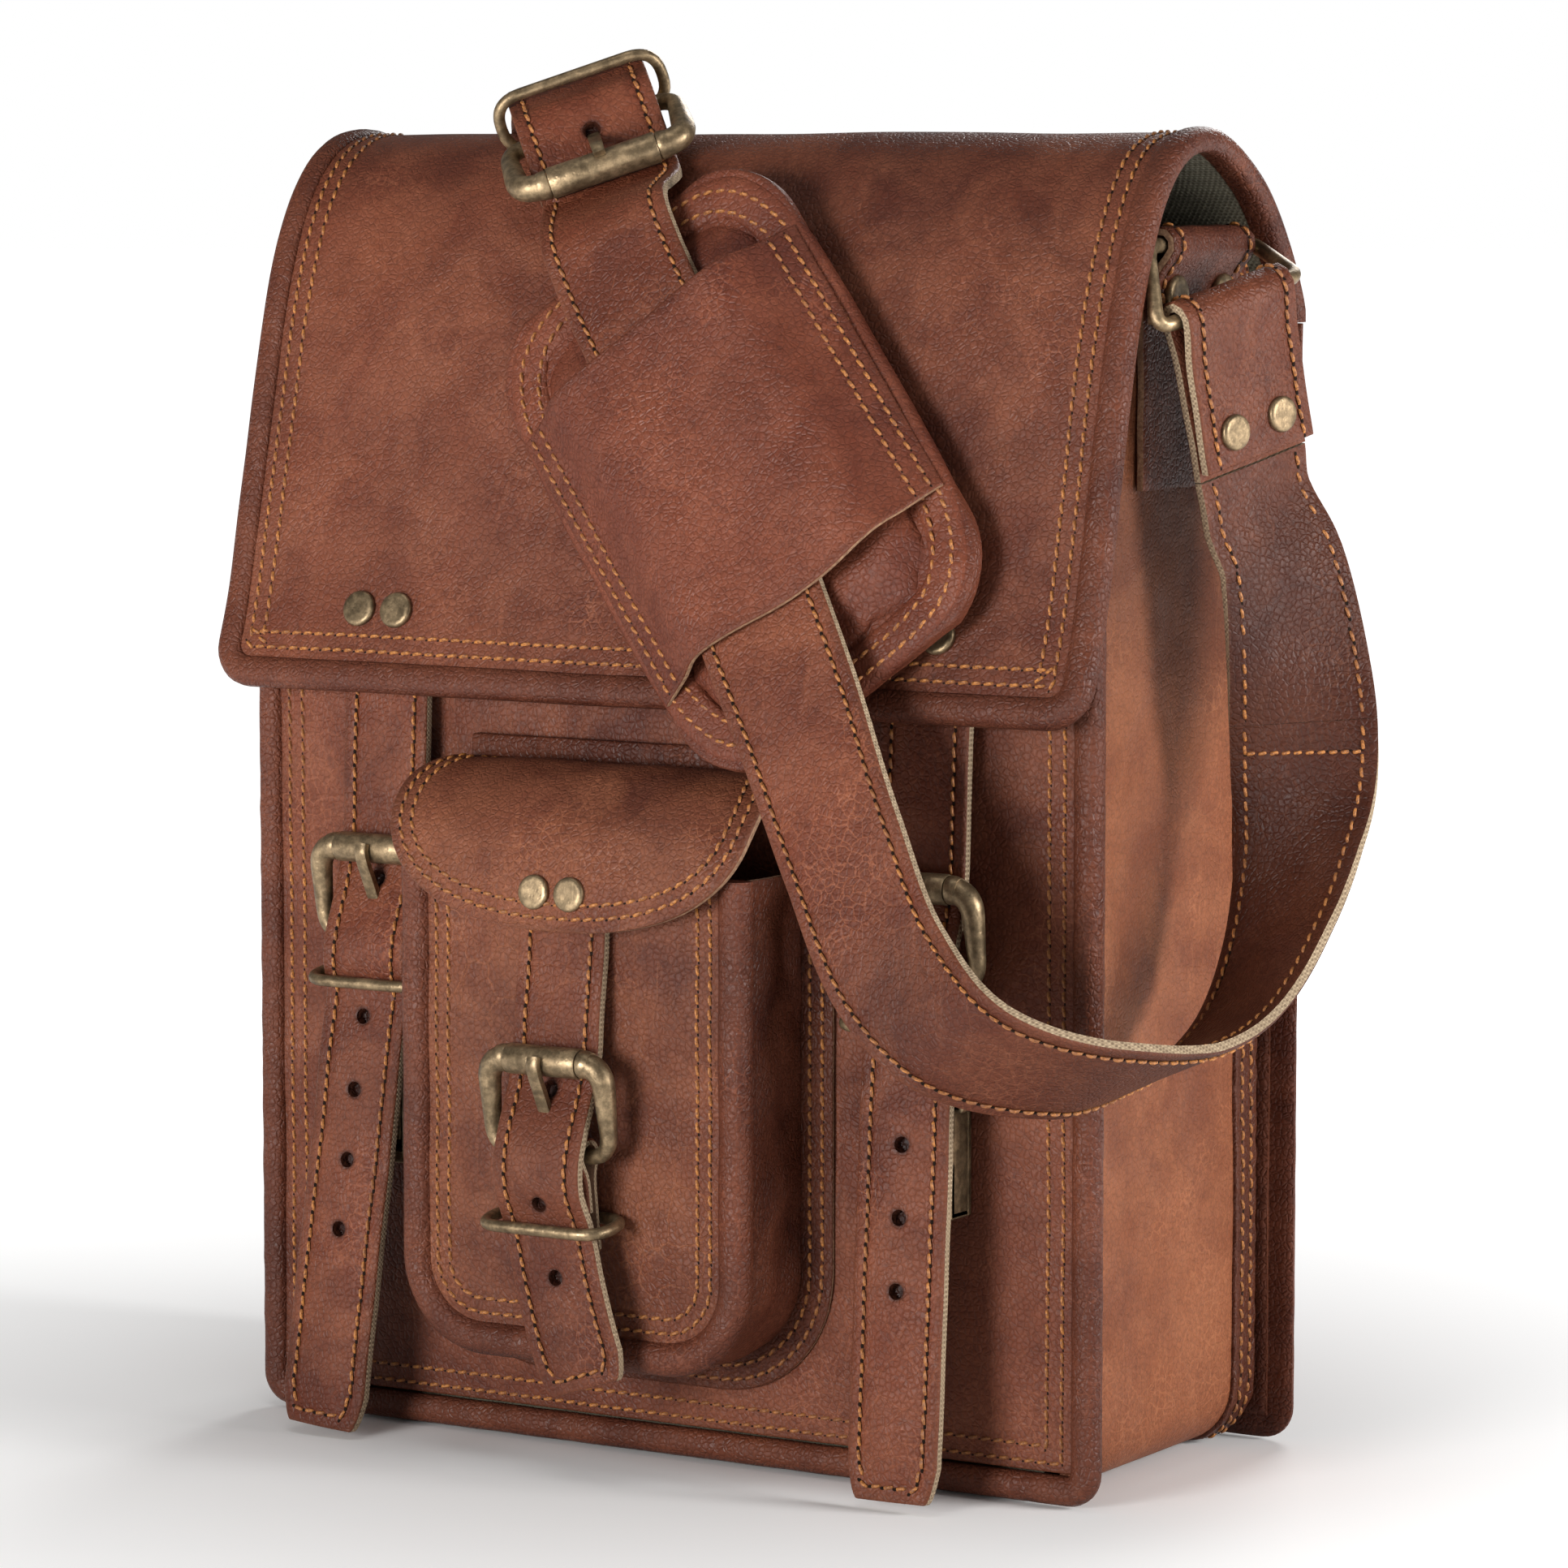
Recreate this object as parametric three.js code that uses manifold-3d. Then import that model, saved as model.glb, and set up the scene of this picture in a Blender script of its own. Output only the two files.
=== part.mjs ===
// A portrait messenger satchel in thick leather: a box-shaped body with a front pocket, a flap that is
// one piece with the back, two buckled closure straps with push locks, and a shoulder strap with a pad.
// Units are millimetres. +X is the wearer's right-hand side seen from the front, the front faces -Y, +Z is
// up, and z = 0 is the underside of the body. The origin is under the middle of the body.
import * as THREE from "three";
import { mergeVertices } from "three/addons/utils/BufferGeometryUtils.js";
import Module from "manifold-3d";

const wasm = await Module();
wasm.setup();

// ---- Driving dimensions ----
const HEIGHT = 330; // underside to the flap's ridge
const HALF_W = 124; // half the body's width over its front binding
const FRONT_Y = -49; // outer face of the front panel
const BACK_Y = 49.3; // outer face of the back panel
const HINGE = { y: 49.5, z: 282 }; // where the back panel turns into the flap
const GAP = 0.3; // clearance between pieces that touch
const LEATHER = 3; // thickness of panels and closure straps
const BINDING = 7.7; // width of the rolled binding round a panel
const STRAP_W = 36; // shoulder strap
const CLOSURE_W = 25; // closure straps
const CLOSURE_X = 79; // closure straps' distance from the middle
const POCKET_X = -8.5; // middle of the pocket
const RIVET_R = 4.9; // rivet caps
const FOLD_LENGTH = 40; // the shoulder strap's ends, folded back and riveted
const WIRE_SIDES = 8;
const RIVET_SIDES = 10;
const TUBE_SIDES = 12;
const FLAP_RIVETS = { spread: 5.7, z: 210 }; // half their distance, and their height
const FLAP_OUT = [0, -1, 0.25]; // which way the flap's front faces at its rivets

const LOOKS = {
  leather: new THREE.MeshStandardMaterial({ color: 0x7a3f26, roughness: 0.55 }),
  darkLeather: new THREE.MeshStandardMaterial({ color: 0x5e2a1b, roughness: 0.5 }),
  tanLeather: new THREE.MeshStandardMaterial({ color: 0x9c5c35, roughness: 0.6 }),
  canvas: new THREE.MeshStandardMaterial({ color: 0x6e6a52, roughness: 0.95 }),
  brass: new THREE.MeshStandardMaterial({ color: 0x7d6a45, roughness: 0.4, metalness: 1 }),
};

const satchel = new THREE.Group();
const vec = (x, y, z) => new THREE.Vector3(x, y, z);

// ---- Geometry helpers ----
function solid(geometry) {
  const bare = geometry.index ? geometry.toNonIndexed() : geometry.clone();
  const points = new THREE.BufferGeometry();
  points.setAttribute("position", bare.getAttribute("position"));
  const merged = mergeVertices(points, 1e-3);
  return new wasm.Manifold(
    new wasm.Mesh({
      numProp: 3,
      vertProperties: merged.attributes.position.array,
      triVerts: new Uint32Array(merged.index.array),
    }),
  );
}

function geometryOf(manifold) {
  const mesh = manifold.getMesh();
  const geometry = new THREE.BufferGeometry();
  geometry.setAttribute("position", new THREE.BufferAttribute(new Float32Array(mesh.vertProperties), 3));
  geometry.setIndex(new THREE.BufferAttribute(mesh.triVerts, 1));
  return geometry;
}

const joined = (...geometries) => geometryOf(geometries.map(solid).reduce((a, b) => a.add(b)));
const cut = (geometry, ...tools) =>
  geometryOf(tools.reduce((whole, tool) => whole.subtract(solid(tool)), solid(geometry)));

function piece(name, geometry, look, parent = satchel) {
  const mesh = new THREE.Mesh(geometry, LOOKS[look]);
  mesh.name = name;
  parent.add(mesh);
  return mesh;
}

function box(low, high) {
  const size = high.map((v, i) => v - low[i]);
  const geometry = new THREE.BoxGeometry(...size);
  return geometry.translate(...high.map((v, i) => (v + low[i]) / 2));
}

// A rod with round ends' axis along a unit direction.
function rod(at, direction, radius, length, sides = 10) {
  const geometry = new THREE.CylinderGeometry(radius, radius, length, sides);
  const turn = new THREE.Quaternion().setFromUnitVectors(vec(0, 1, 0), direction.clone().normalize());
  return geometry.applyQuaternion(turn).translate(at.x, at.y, at.z);
}

function smooth(points, steps) {
  const curve = new THREE.CatmullRomCurve3(points.map(([a, b]) => vec(a, b, 0)), false, "centripetal");
  return curve.getSpacedPoints(steps).map((p) => [p.x, p.y]);
}

// Points set off to the left of an open outline.
function offset(points, distance) {
  return points.map(([a, b], i) => {
    const [a0, b0] = points[Math.max(i - 1, 0)];
    const [a1, b1] = points[Math.min(i + 1, points.length - 1)];
    const length = Math.hypot(a1 - a0, b1 - b0);
    return [a - ((b1 - b0) / length) * distance, b + ((a1 - a0) / length) * distance];
  });
}

// A closed outline in the Y-Z plane, drawn out along X.
function alongX(outline, x0, x1) {
  const shape = new THREE.Shape(outline.map(([y, z]) => new THREE.Vector2(y, z)));
  const geometry = new THREE.ExtrudeGeometry(shape, { depth: x1 - x0, bevelEnabled: false });
  const toRow = new THREE.Matrix4().makeBasis(vec(0, 1, 0), vec(0, 0, 1), vec(1, 0, 0));
  return geometry.applyMatrix4(toRow).translate(x0, 0, 0);
}

// A closed outline in the X-Z plane, drawn out along Y.
function alongY(shape, y0, y1) {
  const options = { depth: y1 - y0, bevelEnabled: false, curveSegments: 8 };
  const geometry = new THREE.ExtrudeGeometry(shape, options);
  return geometry.rotateX(Math.PI / 2).translate(0, y1, 0);
}

const sheet = (outer, thickness) => [...outer, ...offset(outer, thickness).reverse()];

function uShape(halfWidth, low, high, radius, x = 0) {
  const shape = new THREE.Shape();
  shape.moveTo(x - halfWidth, high);
  shape.lineTo(x - halfWidth, low + radius);
  shape.quadraticCurveTo(x - halfWidth, low, x - halfWidth + radius, low);
  shape.lineTo(x + halfWidth - radius, low);
  shape.quadraticCurveTo(x + halfWidth, low, x + halfWidth, low + radius);
  shape.lineTo(x + halfWidth, high);
  shape.closePath();
  return shape;
}

// A flat band of leather along stations of {at, across}: `across` points from one edge to the other.
// It covers the share of the route from `from` to `to`, and its last stretch narrows to a shallow tip.
function band(stations, width, thickness, steps, { from = 0, to = 1, tipLength = 0 } = {}) {
  const curve = (points) => new THREE.CatmullRomCurve3(points.map((p) => vec(...p)), false, "centripetal");
  const centre = curve(stations.map((s) => s.at));
  const across = curve(stations.map((s) => s.across || [1, 0, 0]));
  const length = centre.getLength();
  const geometry = new THREE.BoxGeometry(1, 1, 1, 1, 1, steps);
  const position = geometry.getAttribute("position");
  for (let i = 0; i < position.count; i += 1) {
    const t = position.getZ(i) + 0.5;
    const u = from + (to - from) * Math.min(Math.max(t, 0), 1);
    const point = centre.getPoint(u);
    const tangent = centre.getTangent(u);
    const side = across.getPoint(u);
    side.addScaledVector(tangent, -side.dot(tangent)).normalize();
    const normal = tangent.clone().cross(side).normalize();
    const left = (1 - u) * length;
    const taper = left < tipLength ? 0.72 + 0.28 * Math.sqrt(left / tipLength) : 1;
    point.addScaledVector(side, position.getX(i) * width * taper);
    point.addScaledVector(normal, position.getY(i) * thickness);
    position.setXYZ(i, point.x, point.y, point.z);
  }
  return solid(geometry).volume() > 0 ? geometry : turnedOut(geometry);
}

function turnedOut(geometry) {
  const flat = geometry.toNonIndexed();
  const position = flat.getAttribute("position");
  for (let i = 0; i < position.count; i += 3) {
    const second = vec().fromBufferAttribute(position, i + 1);
    const third = vec().fromBufferAttribute(position, i + 2);
    position.setXYZ(i + 1, third.x, third.y, third.z);
    position.setXYZ(i + 2, second.x, second.y, second.z);
  }
  return flat;
}

// A closed wire through corner points whose corners are rounded.
function wireLoop(corners, cornerRadius, wireRadius, perCorner = 3) {
  const path = [];
  corners.forEach((corner, i) => {
    const before = corners[(i + corners.length - 1) % corners.length];
    const after = corners[(i + 1) % corners.length];
    const start = corner.clone().add(before.clone().sub(corner).setLength(cornerRadius));
    const end = corner.clone().add(after.clone().sub(corner).setLength(cornerRadius));
    const bend = new THREE.QuadraticBezierCurve3(start, corner, end);
    path.push(...bend.getPoints(perCorner));
  });
  const middle = path.reduce((a, p) => a.add(p), vec(0, 0, 0)).divideScalar(path.length);
  const ring = new THREE.TorusGeometry(10, 1, WIRE_SIDES, path.length);
  const position = ring.getAttribute("position");
  for (let i = 0; i < position.count; i += 1) {
    const [x, y, z] = [position.getX(i), position.getY(i), position.getZ(i)];
    const turn = (Math.atan2(y, x) / (2 * Math.PI) + 1) % 1;
    const k = Math.round(turn * path.length) % path.length;
    const after = path[(k + 1) % path.length];
    const before = path[(k + path.length - 1) % path.length];
    const tangent = after.clone().sub(before).normalize();
    const outward = path[k].clone().sub(middle);
    outward.addScaledVector(tangent, -outward.dot(tangent)).normalize();
    const up = outward.clone().cross(tangent);
    const point = path[k].clone();
    point.addScaledVector(outward, (Math.hypot(x, y) - 10) * wireRadius);
    point.addScaledVector(up, z * wireRadius);
    position.setXYZ(i, point.x, point.y, point.z);
  }
  return solid(ring).volume() > 0 ? ring : turnedOut(ring);
}

// A domed rivet: head at `at`, shank along -out through the leather, and a small washer behind it.
function rivet(at, out, grip, headRadius = RIVET_R) {
  const profile = [
    [0, 1.7],
    [headRadius * 0.55, 1.45],
    [headRadius * 0.92, 0.8],
    [headRadius, GAP],
    [1.4, GAP],
    [1.4, -grip - GAP],
    [headRadius * 0.7, -grip - GAP],
    [headRadius * 0.7, -grip - 1],
    [0, -grip - 1],
  ].reverse();
  const geometry = new THREE.LatheGeometry(profile.map(([r, h]) => new THREE.Vector2(r, h)), RIVET_SIDES);
  const turn = new THREE.Quaternion().setFromUnitVectors(vec(0, 1, 0), out.clone().normalize());
  return geometry.applyQuaternion(turn).translate(at.x, at.y, at.z);
}
const rivetHole = (at, out) => rod(at, out, 1.8, 30, 8);

// ---- Side outlines ----
const flapOuter = smooth(
  [
    [50, HINGE.z + 1.2], [49.9, 286], [47, 292.5], [41.5, 301.5], [34, 311], [25, 319.5], [14, 326],
    [3, HEIGHT - 0.3], [-8, HEIGHT - 1], [-18, 324.5], [-26.5, 316], [-34, 303], [-42, 280],
    [-50, 245], [-57, 215], [-64, 194],
  ],
  26,
);
const FLAP_T = 4;

// The flap's outer Y at a height on its front.
function flapFront(z) {
  const front = flapOuter.filter(([y]) => y < 0);
  const i = front.findIndex(([, h]) => h <= z);
  const [y0, z0] = front[i - 1];
  const [y1, z1] = front[i];
  return y0 + ((y1 - y0) * (z - z0)) / (z1 - z0);
}
const frontOuter = (low, high = 298) => {
  const upper = [[FRONT_Y, 222], [-44.5, 245], [-36.5, 280], [-30, high]];
  return [[FRONT_Y, low], ...upper];
};

// ---- Body ----
function addBody() {
  const panelHalf = HALF_W - BINDING;
  piece("front_panel", alongX(sheet(frontOuter(8), -LEATHER), -panelHalf, panelHalf), "leather");
  const frontStrip = (x0, x1, z1) => box([x0, FRONT_Y - 2.4, 0], [x1, FRONT_Y + 3, z1]);
  piece(
    "front_binding",
    joined(
      frontStrip(-HALF_W, -panelHalf - GAP, 216),
      frontStrip(panelHalf + GAP, HALF_W, 216),
      frontStrip(-HALF_W, HALF_W, 8 - GAP),
    ),
    "darkLeather",
  );

  const backHalf = HALF_W + 3 - BINDING;
  piece("back_panel", box([-backHalf, BACK_Y - LEATHER, 8], [backHalf, BACK_Y, HINGE.z]), "leather");
  const bindingTop = HINGE.z - 2.5; // leaves the flap room to turn right back
  const backStrip = (x0, x1, z0, z1) => box([x0, BACK_Y - 3.4, z0], [x1, BACK_Y + 1.4, z1]);
  piece(
    "back_binding",
    joined(
      backStrip(-HALF_W - 3, -backHalf - GAP, 0, bindingTop),
      backStrip(backHalf + GAP, HALF_W + 3, 0, bindingTop),
      backStrip(-HALF_W - 3, HALF_W + 3, 0, 8 - GAP),
    ),
    "darkLeather",
  );

  // The gusset is one strip down the left side, under the bottom and up the right side.
  const gussetOuter = alongY(uShape(117, 0, 306, 16), FRONT_Y + LEATHER + GAP, BACK_Y - LEATHER - 0.7);
  const gussetInner = alongY(uShape(114.5, 2.5, 320, 14), -80, 80);
  const frontLine = [
    [-120, 150], [-45.7, 150], [-45.7, 222], [-41.1, 245.5], [-32.2, 281], [-26, 299], [-26, 340], [-120, 340],
  ];
  const topCorner = [[60, 281.6], [60, 340], [22, 340], [24, 309], [36, 297], [42, 281.6]];
  piece(
    "gusset",
    cut(gussetOuter, gussetInner, alongX(frontLine, -130, 130), alongX(topCorner, -130, 130)),
    "tanLeather",
  );

  // Canvas bag inside, open at the top.
  const bag = alongY(uShape(114.2, 4, 218, 13.8), FRONT_Y + LEATHER + 1, BACK_Y - LEATHER - 1);
  const hollow = alongY(uShape(113.2, 5, 230, 13), FRONT_Y + LEATHER + 2, BACK_Y - LEATHER - 2);
  piece("lining", cut(bag, hollow), "canvas");
}

// ---- Front pocket ----
const POCKET = { front: -77, half: 51, low: 27, high: 150, radius: 20 };

function addPocket() {
  const back = FRONT_Y - GAP;
  const frontShape = uShape(POCKET.half, POCKET.low, POCKET.high, POCKET.radius, POCKET_X);
  piece("pocket_front", alongY(frontShape, POCKET.front, POCKET.front + LEATHER), "leather");
  const outer = uShape(POCKET.half - 1, POCKET.low + 1, POCKET.high + 2, POCKET.radius - 1, POCKET_X);
  const inner = uShape(POCKET.half - 3.4, POCKET.low + 3.4, POCKET.high + 9, POCKET.radius - 3, POCKET_X);
  const wall = alongY(outer, POCKET.front + LEATHER + GAP, back);
  const flangeShape = uShape(POCKET.half + 2, POCKET.low - 2, POCKET.high + 2, POCKET.radius, POCKET_X);
  const flange = alongY(flangeShape, back - 2, back);
  piece("pocket_gusset", cut(joined(wall, flange), alongY(inner, -90, -40)), "tanLeather");

  // The flap's side outline, cut to a half-round front.
  const outline = smooth([[-50.6, 173], [-59, 174.5], [-71, 171], [-80, 162], [-84.3, 150], [-86.2, 136]], 9);
  const profile = sheet(outline.reverse(), -2.4);
  const rolled = alongX(profile, POCKET_X - 53, POCKET_X + 53);
  const half = 53;
  const front = new THREE.Shape();
  front.moveTo(POCKET_X - half + 12, 180);
  front.quadraticCurveTo(POCKET_X - half, 172, POCKET_X - half, 158);
  front.bezierCurveTo(POCKET_X - half, 142, POCKET_X - 34, 136, POCKET_X, 135.4);
  front.bezierCurveTo(POCKET_X + 34, 136, POCKET_X + half, 142, POCKET_X + half, 158);
  front.quadraticCurveTo(POCKET_X + half, 172, POCKET_X + half - 12, 180);
  front.closePath();
  const flapSolid = solid(rolled).intersect(solid(alongY(front, -100, -40)));
  return geometryOf(flapSolid);
}

// ---- Buckles ----
// A tube along X, open through its middle.
function tube(inner, outer, half) {
  const ring = [[inner, -half], [outer, -half], [outer, half], [inner, half], [inner, -half]];
  const profile = ring.map(([r, h]) => new THREE.Vector2(r, h));
  return new THREE.LatheGeometry(profile, TUBE_SIDES).rotateZ(Math.PI / 2);
}

// In a buckle's own frame the heel bar lies along X at the origin, the roller bar is towards +Y and
// +Z faces out.
function addBuckle(name, parent, spec) {
  const { halfWidth, reach, bar, rollerLength } = spec;
  const corners = [
    vec(-halfWidth, 0, 0), vec(halfWidth, 0, 0),
    vec(halfWidth, reach, 0), vec(-halfWidth, reach, 0),
  ];
  piece(name + "_frame", wireLoop(corners, bar * 2.4, bar), "brass", parent);

  const inner = bar + GAP;
  const outer = bar + 1.2;
  const half = rollerLength / 2;
  const roller = tube(inner, outer, half).translate(0, reach, 0);
  piece(name + "_roller", roller, "brass", parent);

  // The prong's eye turns on the heel bar; its tongue rises to rest on the roller.
  const eye = tube(inner, inner + 1.3, 1.7);
  const tip = outer + GAP + 1.3;
  const tongue = band(
    [
      { at: [0, bar + 1, 0] },
      { at: [0, reach * 0.35, 0.4] },
      { at: [0, reach * 0.7, tip * 0.62] },
      { at: [0, reach - 1, tip] },
      { at: [0, reach + 2.6, tip - 0.6] },
    ],
    2.8,
    2.4,
    9,
  );
  piece(name + "_prong", joined(eye, tongue), "brass", parent);

  const { keeperY, keeperHalf, keeperLow, keeperHigh } = spec;
  const k = [
    vec(-keeperHalf, keeperY, keeperLow), vec(keeperHalf, keeperY, keeperLow),
    vec(keeperHalf, keeperY, keeperHigh), vec(-keeperHalf, keeperY, keeperHigh),
  ];
  piece(name + "_keeper", wireLoop(k, (keeperHigh - keeperLow) * 0.45, 1.4), "brass", parent);
}

// The folded leather that holds the heel bar, slotted for the prong.
function chapeGeometry(bar, width, shortLength, longLength) {
  const r = bar + GAP + 1.05;
  const arc = [];
  for (let i = 0; i <= 6; i += 1) {
    const a = (Math.PI * i) / 6;
    arc.push({ at: [0, r * Math.sin(a), r * Math.cos(a)] });
  }
  const low = -1.35;
  const stations = [
    { at: [0, -shortLength, -low] }, { at: [0, -5.5, -low + 0.3] }, ...arc,
    { at: [0, -5.5, low - 0.3] }, { at: [0, -shortLength, low] }, { at: [0, -longLength, low] },
  ];
  const fold = band(stations, width, 2, 26);
  return cut(fold, box([-2.5, -6.5, -9], [2.5, 9, 9]));
}

const CLOSURE_SPEC = {
  halfWidth: 17.4, reach: 23.4, bar: 2.3, rollerLength: 21,
  keeperY: -9.5, keeperHalf: 17.6, keeperLow: -4.3, keeperHigh: 10.3,
};
const TILT = 0.14;

function buckleGroup(x, y, z, tilt = TILT) {
  const group = new THREE.Group();
  group.position.set(x, y, z);
  group.rotation.x = Math.PI / 2 + tilt;
  satchel.add(group);
  group.updateMatrixWorld(true);
  return group;
}

// Round holes along a closure strap's tail, and the slot worn by the prong.
function strapWithHoles(geometry, holes, slot) {
  const tools = holes.map(([x, z]) => rod(vec(x, -70, z), vec(0, 1, 0), 2, 50, 8));
  tools.push(box(slot[0], slot[1]));
  return cut(geometry, ...tools);
}

// The two rivets that hold a closure strap, on the flap's front.
function flapRivets(x) {
  const { spread, z } = FLAP_RIVETS;
  return [-spread, spread].map((dx) => vec(x + dx, flapFront(z), z));
}

// ---- Main closures ----
const HEEL = { y: -58.5, z: 126.5 };
const LOCK = { back: FRONT_Y - GAP, front: FRONT_Y - 10.3, low: 69, mouth: 96, collar: 99.5 };

function addClosure(sideName, x, drift) {
  const group = buckleGroup(x, HEEL.y, HEEL.z);
  const name = "closure_" + sideName;
  addBuckle(name, group, CLOSURE_SPEC);
  piece(name + "_chape", chapeGeometry(CLOSURE_SPEC.bar, 22, 12, 19.5), "darkLeather", group);

  // From its rivets inside the flap, under the roller, over the heel bar, through the keeper and down.
  const strap = band(
    [
      { at: [x, -50.9, 216.5] }, { at: [x, -52.9, 206] }, { at: [x, -54.4, 190] }, { at: [x, -55.6, 170] },
      { at: [x, -56.3, 152] }, { at: [x, -58.4, 143] }, { at: [x, -62.6, 133] }, { at: [x, -65.2, 126] },
      { at: [x + drift * 0.05, -65.1, 120] }, { at: [x + drift * 0.1, -63, 113.5] },
      { at: [x + drift * 0.2, -64, 103] }, { at: [x + drift * 0.25, -65, 96] },
      { at: [x + drift * 0.45, -67.5, 70] }, { at: [x + drift * 0.75, -71, 35] }, { at: [x + drift, -74, 2] },
    ],
    CLOSURE_W,
    LEATHER,
    44,
    { tipLength: 12 },
  );
  const holes = [107, 88, 70, 52].map((z) => [x + drift * ((126 - z) / 126), z]);
  const out = vec(...FLAP_OUT).normalize();
  const rivets = flapRivets(x).map((at) => at.add(vec(0, -0.4, 0)));
  const holed = strapWithHoles(strap, holes, [[x - 1.9, -80, 131], [x + 1.9, -30, 146]]);
  piece(name + "_strap", cut(holed, ...rivets.map((at) => rivetHole(at, out))), "leather");
  rivets.forEach((at, i) => piece("flap_rivet_" + sideName + "_" + (i + 1), rivet(at, out, 8.3), "brass"));

  // Push lock: a socket with a collar on the body, and the tongue on the chape's end just out of its mouth.
  const middle = (LOCK.back + LOCK.front) / 2;
  const shell = box([x - 10, LOCK.front, LOCK.low], [x + 10, LOCK.back, LOCK.mouth]);
  const collar = box([x - 13.5, LOCK.front - 1, LOCK.mouth - 0.5], [x + 13.5, LOCK.back, LOCK.collar]);
  const mouth = box([x - 8, LOCK.front + 2, LOCK.low + 3], [x + 8, LOCK.back - 2, LOCK.collar + 1]);
  const frontWindow = box([x - 6.5, LOCK.front - 2, LOCK.low + 5], [x + 6.5, LOCK.front + 3, LOCK.mouth - 5]);
  piece("lock_socket_" + sideName, cut(joined(shell, collar), mouth, frontWindow), "brass");
  const leaf = box([x - 5.6, LOCK.front + 0.6, LOCK.low + 6], [x + 5.6, LOCK.front + 1.7, LOCK.mouth - 6]);
  const foot = box([x - 5.6, LOCK.front + 0.6, LOCK.low + 6], [x + 5.6, LOCK.front + 5, LOCK.low + 7.6]);
  piece("lock_leaf_" + sideName, joined(leaf, foot), "brass");

  const body = box([x - 11.5, middle - 3.6, LOCK.collar + 0.8], [x + 11.5, middle + 3.6, LOCK.collar + 9.5]);
  const slot = box([x - 11.3, middle - 2.5, LOCK.collar + 4], [x + 11.3, middle + 2.5, LOCK.collar + 12]);
  piece("lock_tongue_" + sideName, cut(body, slot), "brass");
}

// ---- Flap ----
function addFlap() {
  const half = HALF_W + 0.7;
  const plate = alongX(sheet(flapOuter, FLAP_T), -half, half);
  const out = vec(...FLAP_OUT).normalize();
  const rivets = [-CLOSURE_X, CLOSURE_X].flatMap(flapRivets);
  const holes = rivets.map((at) => rivetHole(at, out));
  piece("flap", cut(plate, ...holes), "leather");

  const rolled = [...offset(flapOuter, -0.7), ...offset(flapOuter, FLAP_T + 0.8).reverse()];
  const left = alongX(rolled, -half - 3.6, -half - GAP);
  const right = alongX(rolled, half + GAP, half + 3.6);
  const [hemY, hemZ] = flapOuter[flapOuter.length - 1];
  const hem = box([-half - 3.6, hemY - 1.4, hemZ - 4.8], [half + 3.6, hemY + FLAP_T + 1, hemZ - 1.6]);
  const leftEnd = box([-half - 3.6, hemY - 0.6, hemZ - 2], [-half - GAP, hemY + FLAP_T, hemZ + 1]);
  const rightEnd = box([half + GAP, hemY - 0.6, hemZ - 2], [half + 3.6, hemY + FLAP_T, hemZ + 1]);
  piece("flap_binding", joined(left, right, leftEnd, rightEnd, hem), "darkLeather");
}

// ---- Pocket closure ----
function addPocketClosure(pocketFlap) {
  const x = POCKET_X;
  const heelZ = 81;
  const heelY = POCKET.front - 9;
  const group = buckleGroup(x, heelY, heelZ);
  addBuckle("pocket", group, { ...CLOSURE_SPEC, keeperY: -17, keeperHigh: 9.6 });
  piece("pocket_chape", chapeGeometry(CLOSURE_SPEC.bar, 22, 14, 24), "darkLeather", group);
  const at = (dy, z, dx = 0) => ({ at: [x + dx, POCKET.front - dy, z] });
  const strap = band(
    [
      at(3, 149.5), at(3.2, 143), at(4.2, 128), at(6, 114), at(6.8, 106), at(9, 97), at(13.6, 87),
      at(15.8, 80), at(15.4, 73), at(12.7, 64, 1), at(12.4, 50, 4), at(12.2, 36, 8), at(12, 24, 12),
    ],
    CLOSURE_W,
    LEATHER,
    34,
    { tipLength: 10 },
  );
  const out = vec(0, -1, 0.12).normalize();
  const rivets = [-5.2, 5.2].map((dx) => vec(x + dx, POCKET.front - 8.4, 145));
  const holes = [[x + 0.5, 68], [x + 5, 48]];
  const holed = strapWithHoles(strap, holes, [[x - 1.9, -110, 85.7], [x + 1.9, -30, 100.5]]);
  piece("pocket_strap", cut(holed, ...rivets.map((p) => rivetHole(p, out))), "leather");
  piece("pocket_flap", cut(pocketFlap, ...rivets.map((p) => rivetHole(p, out))), "leather");
  rivets.forEach((p, i) => piece("pocket_rivet_" + (i + 1), rivet(p, out, 7, 4.4), "brass"));
}

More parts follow.
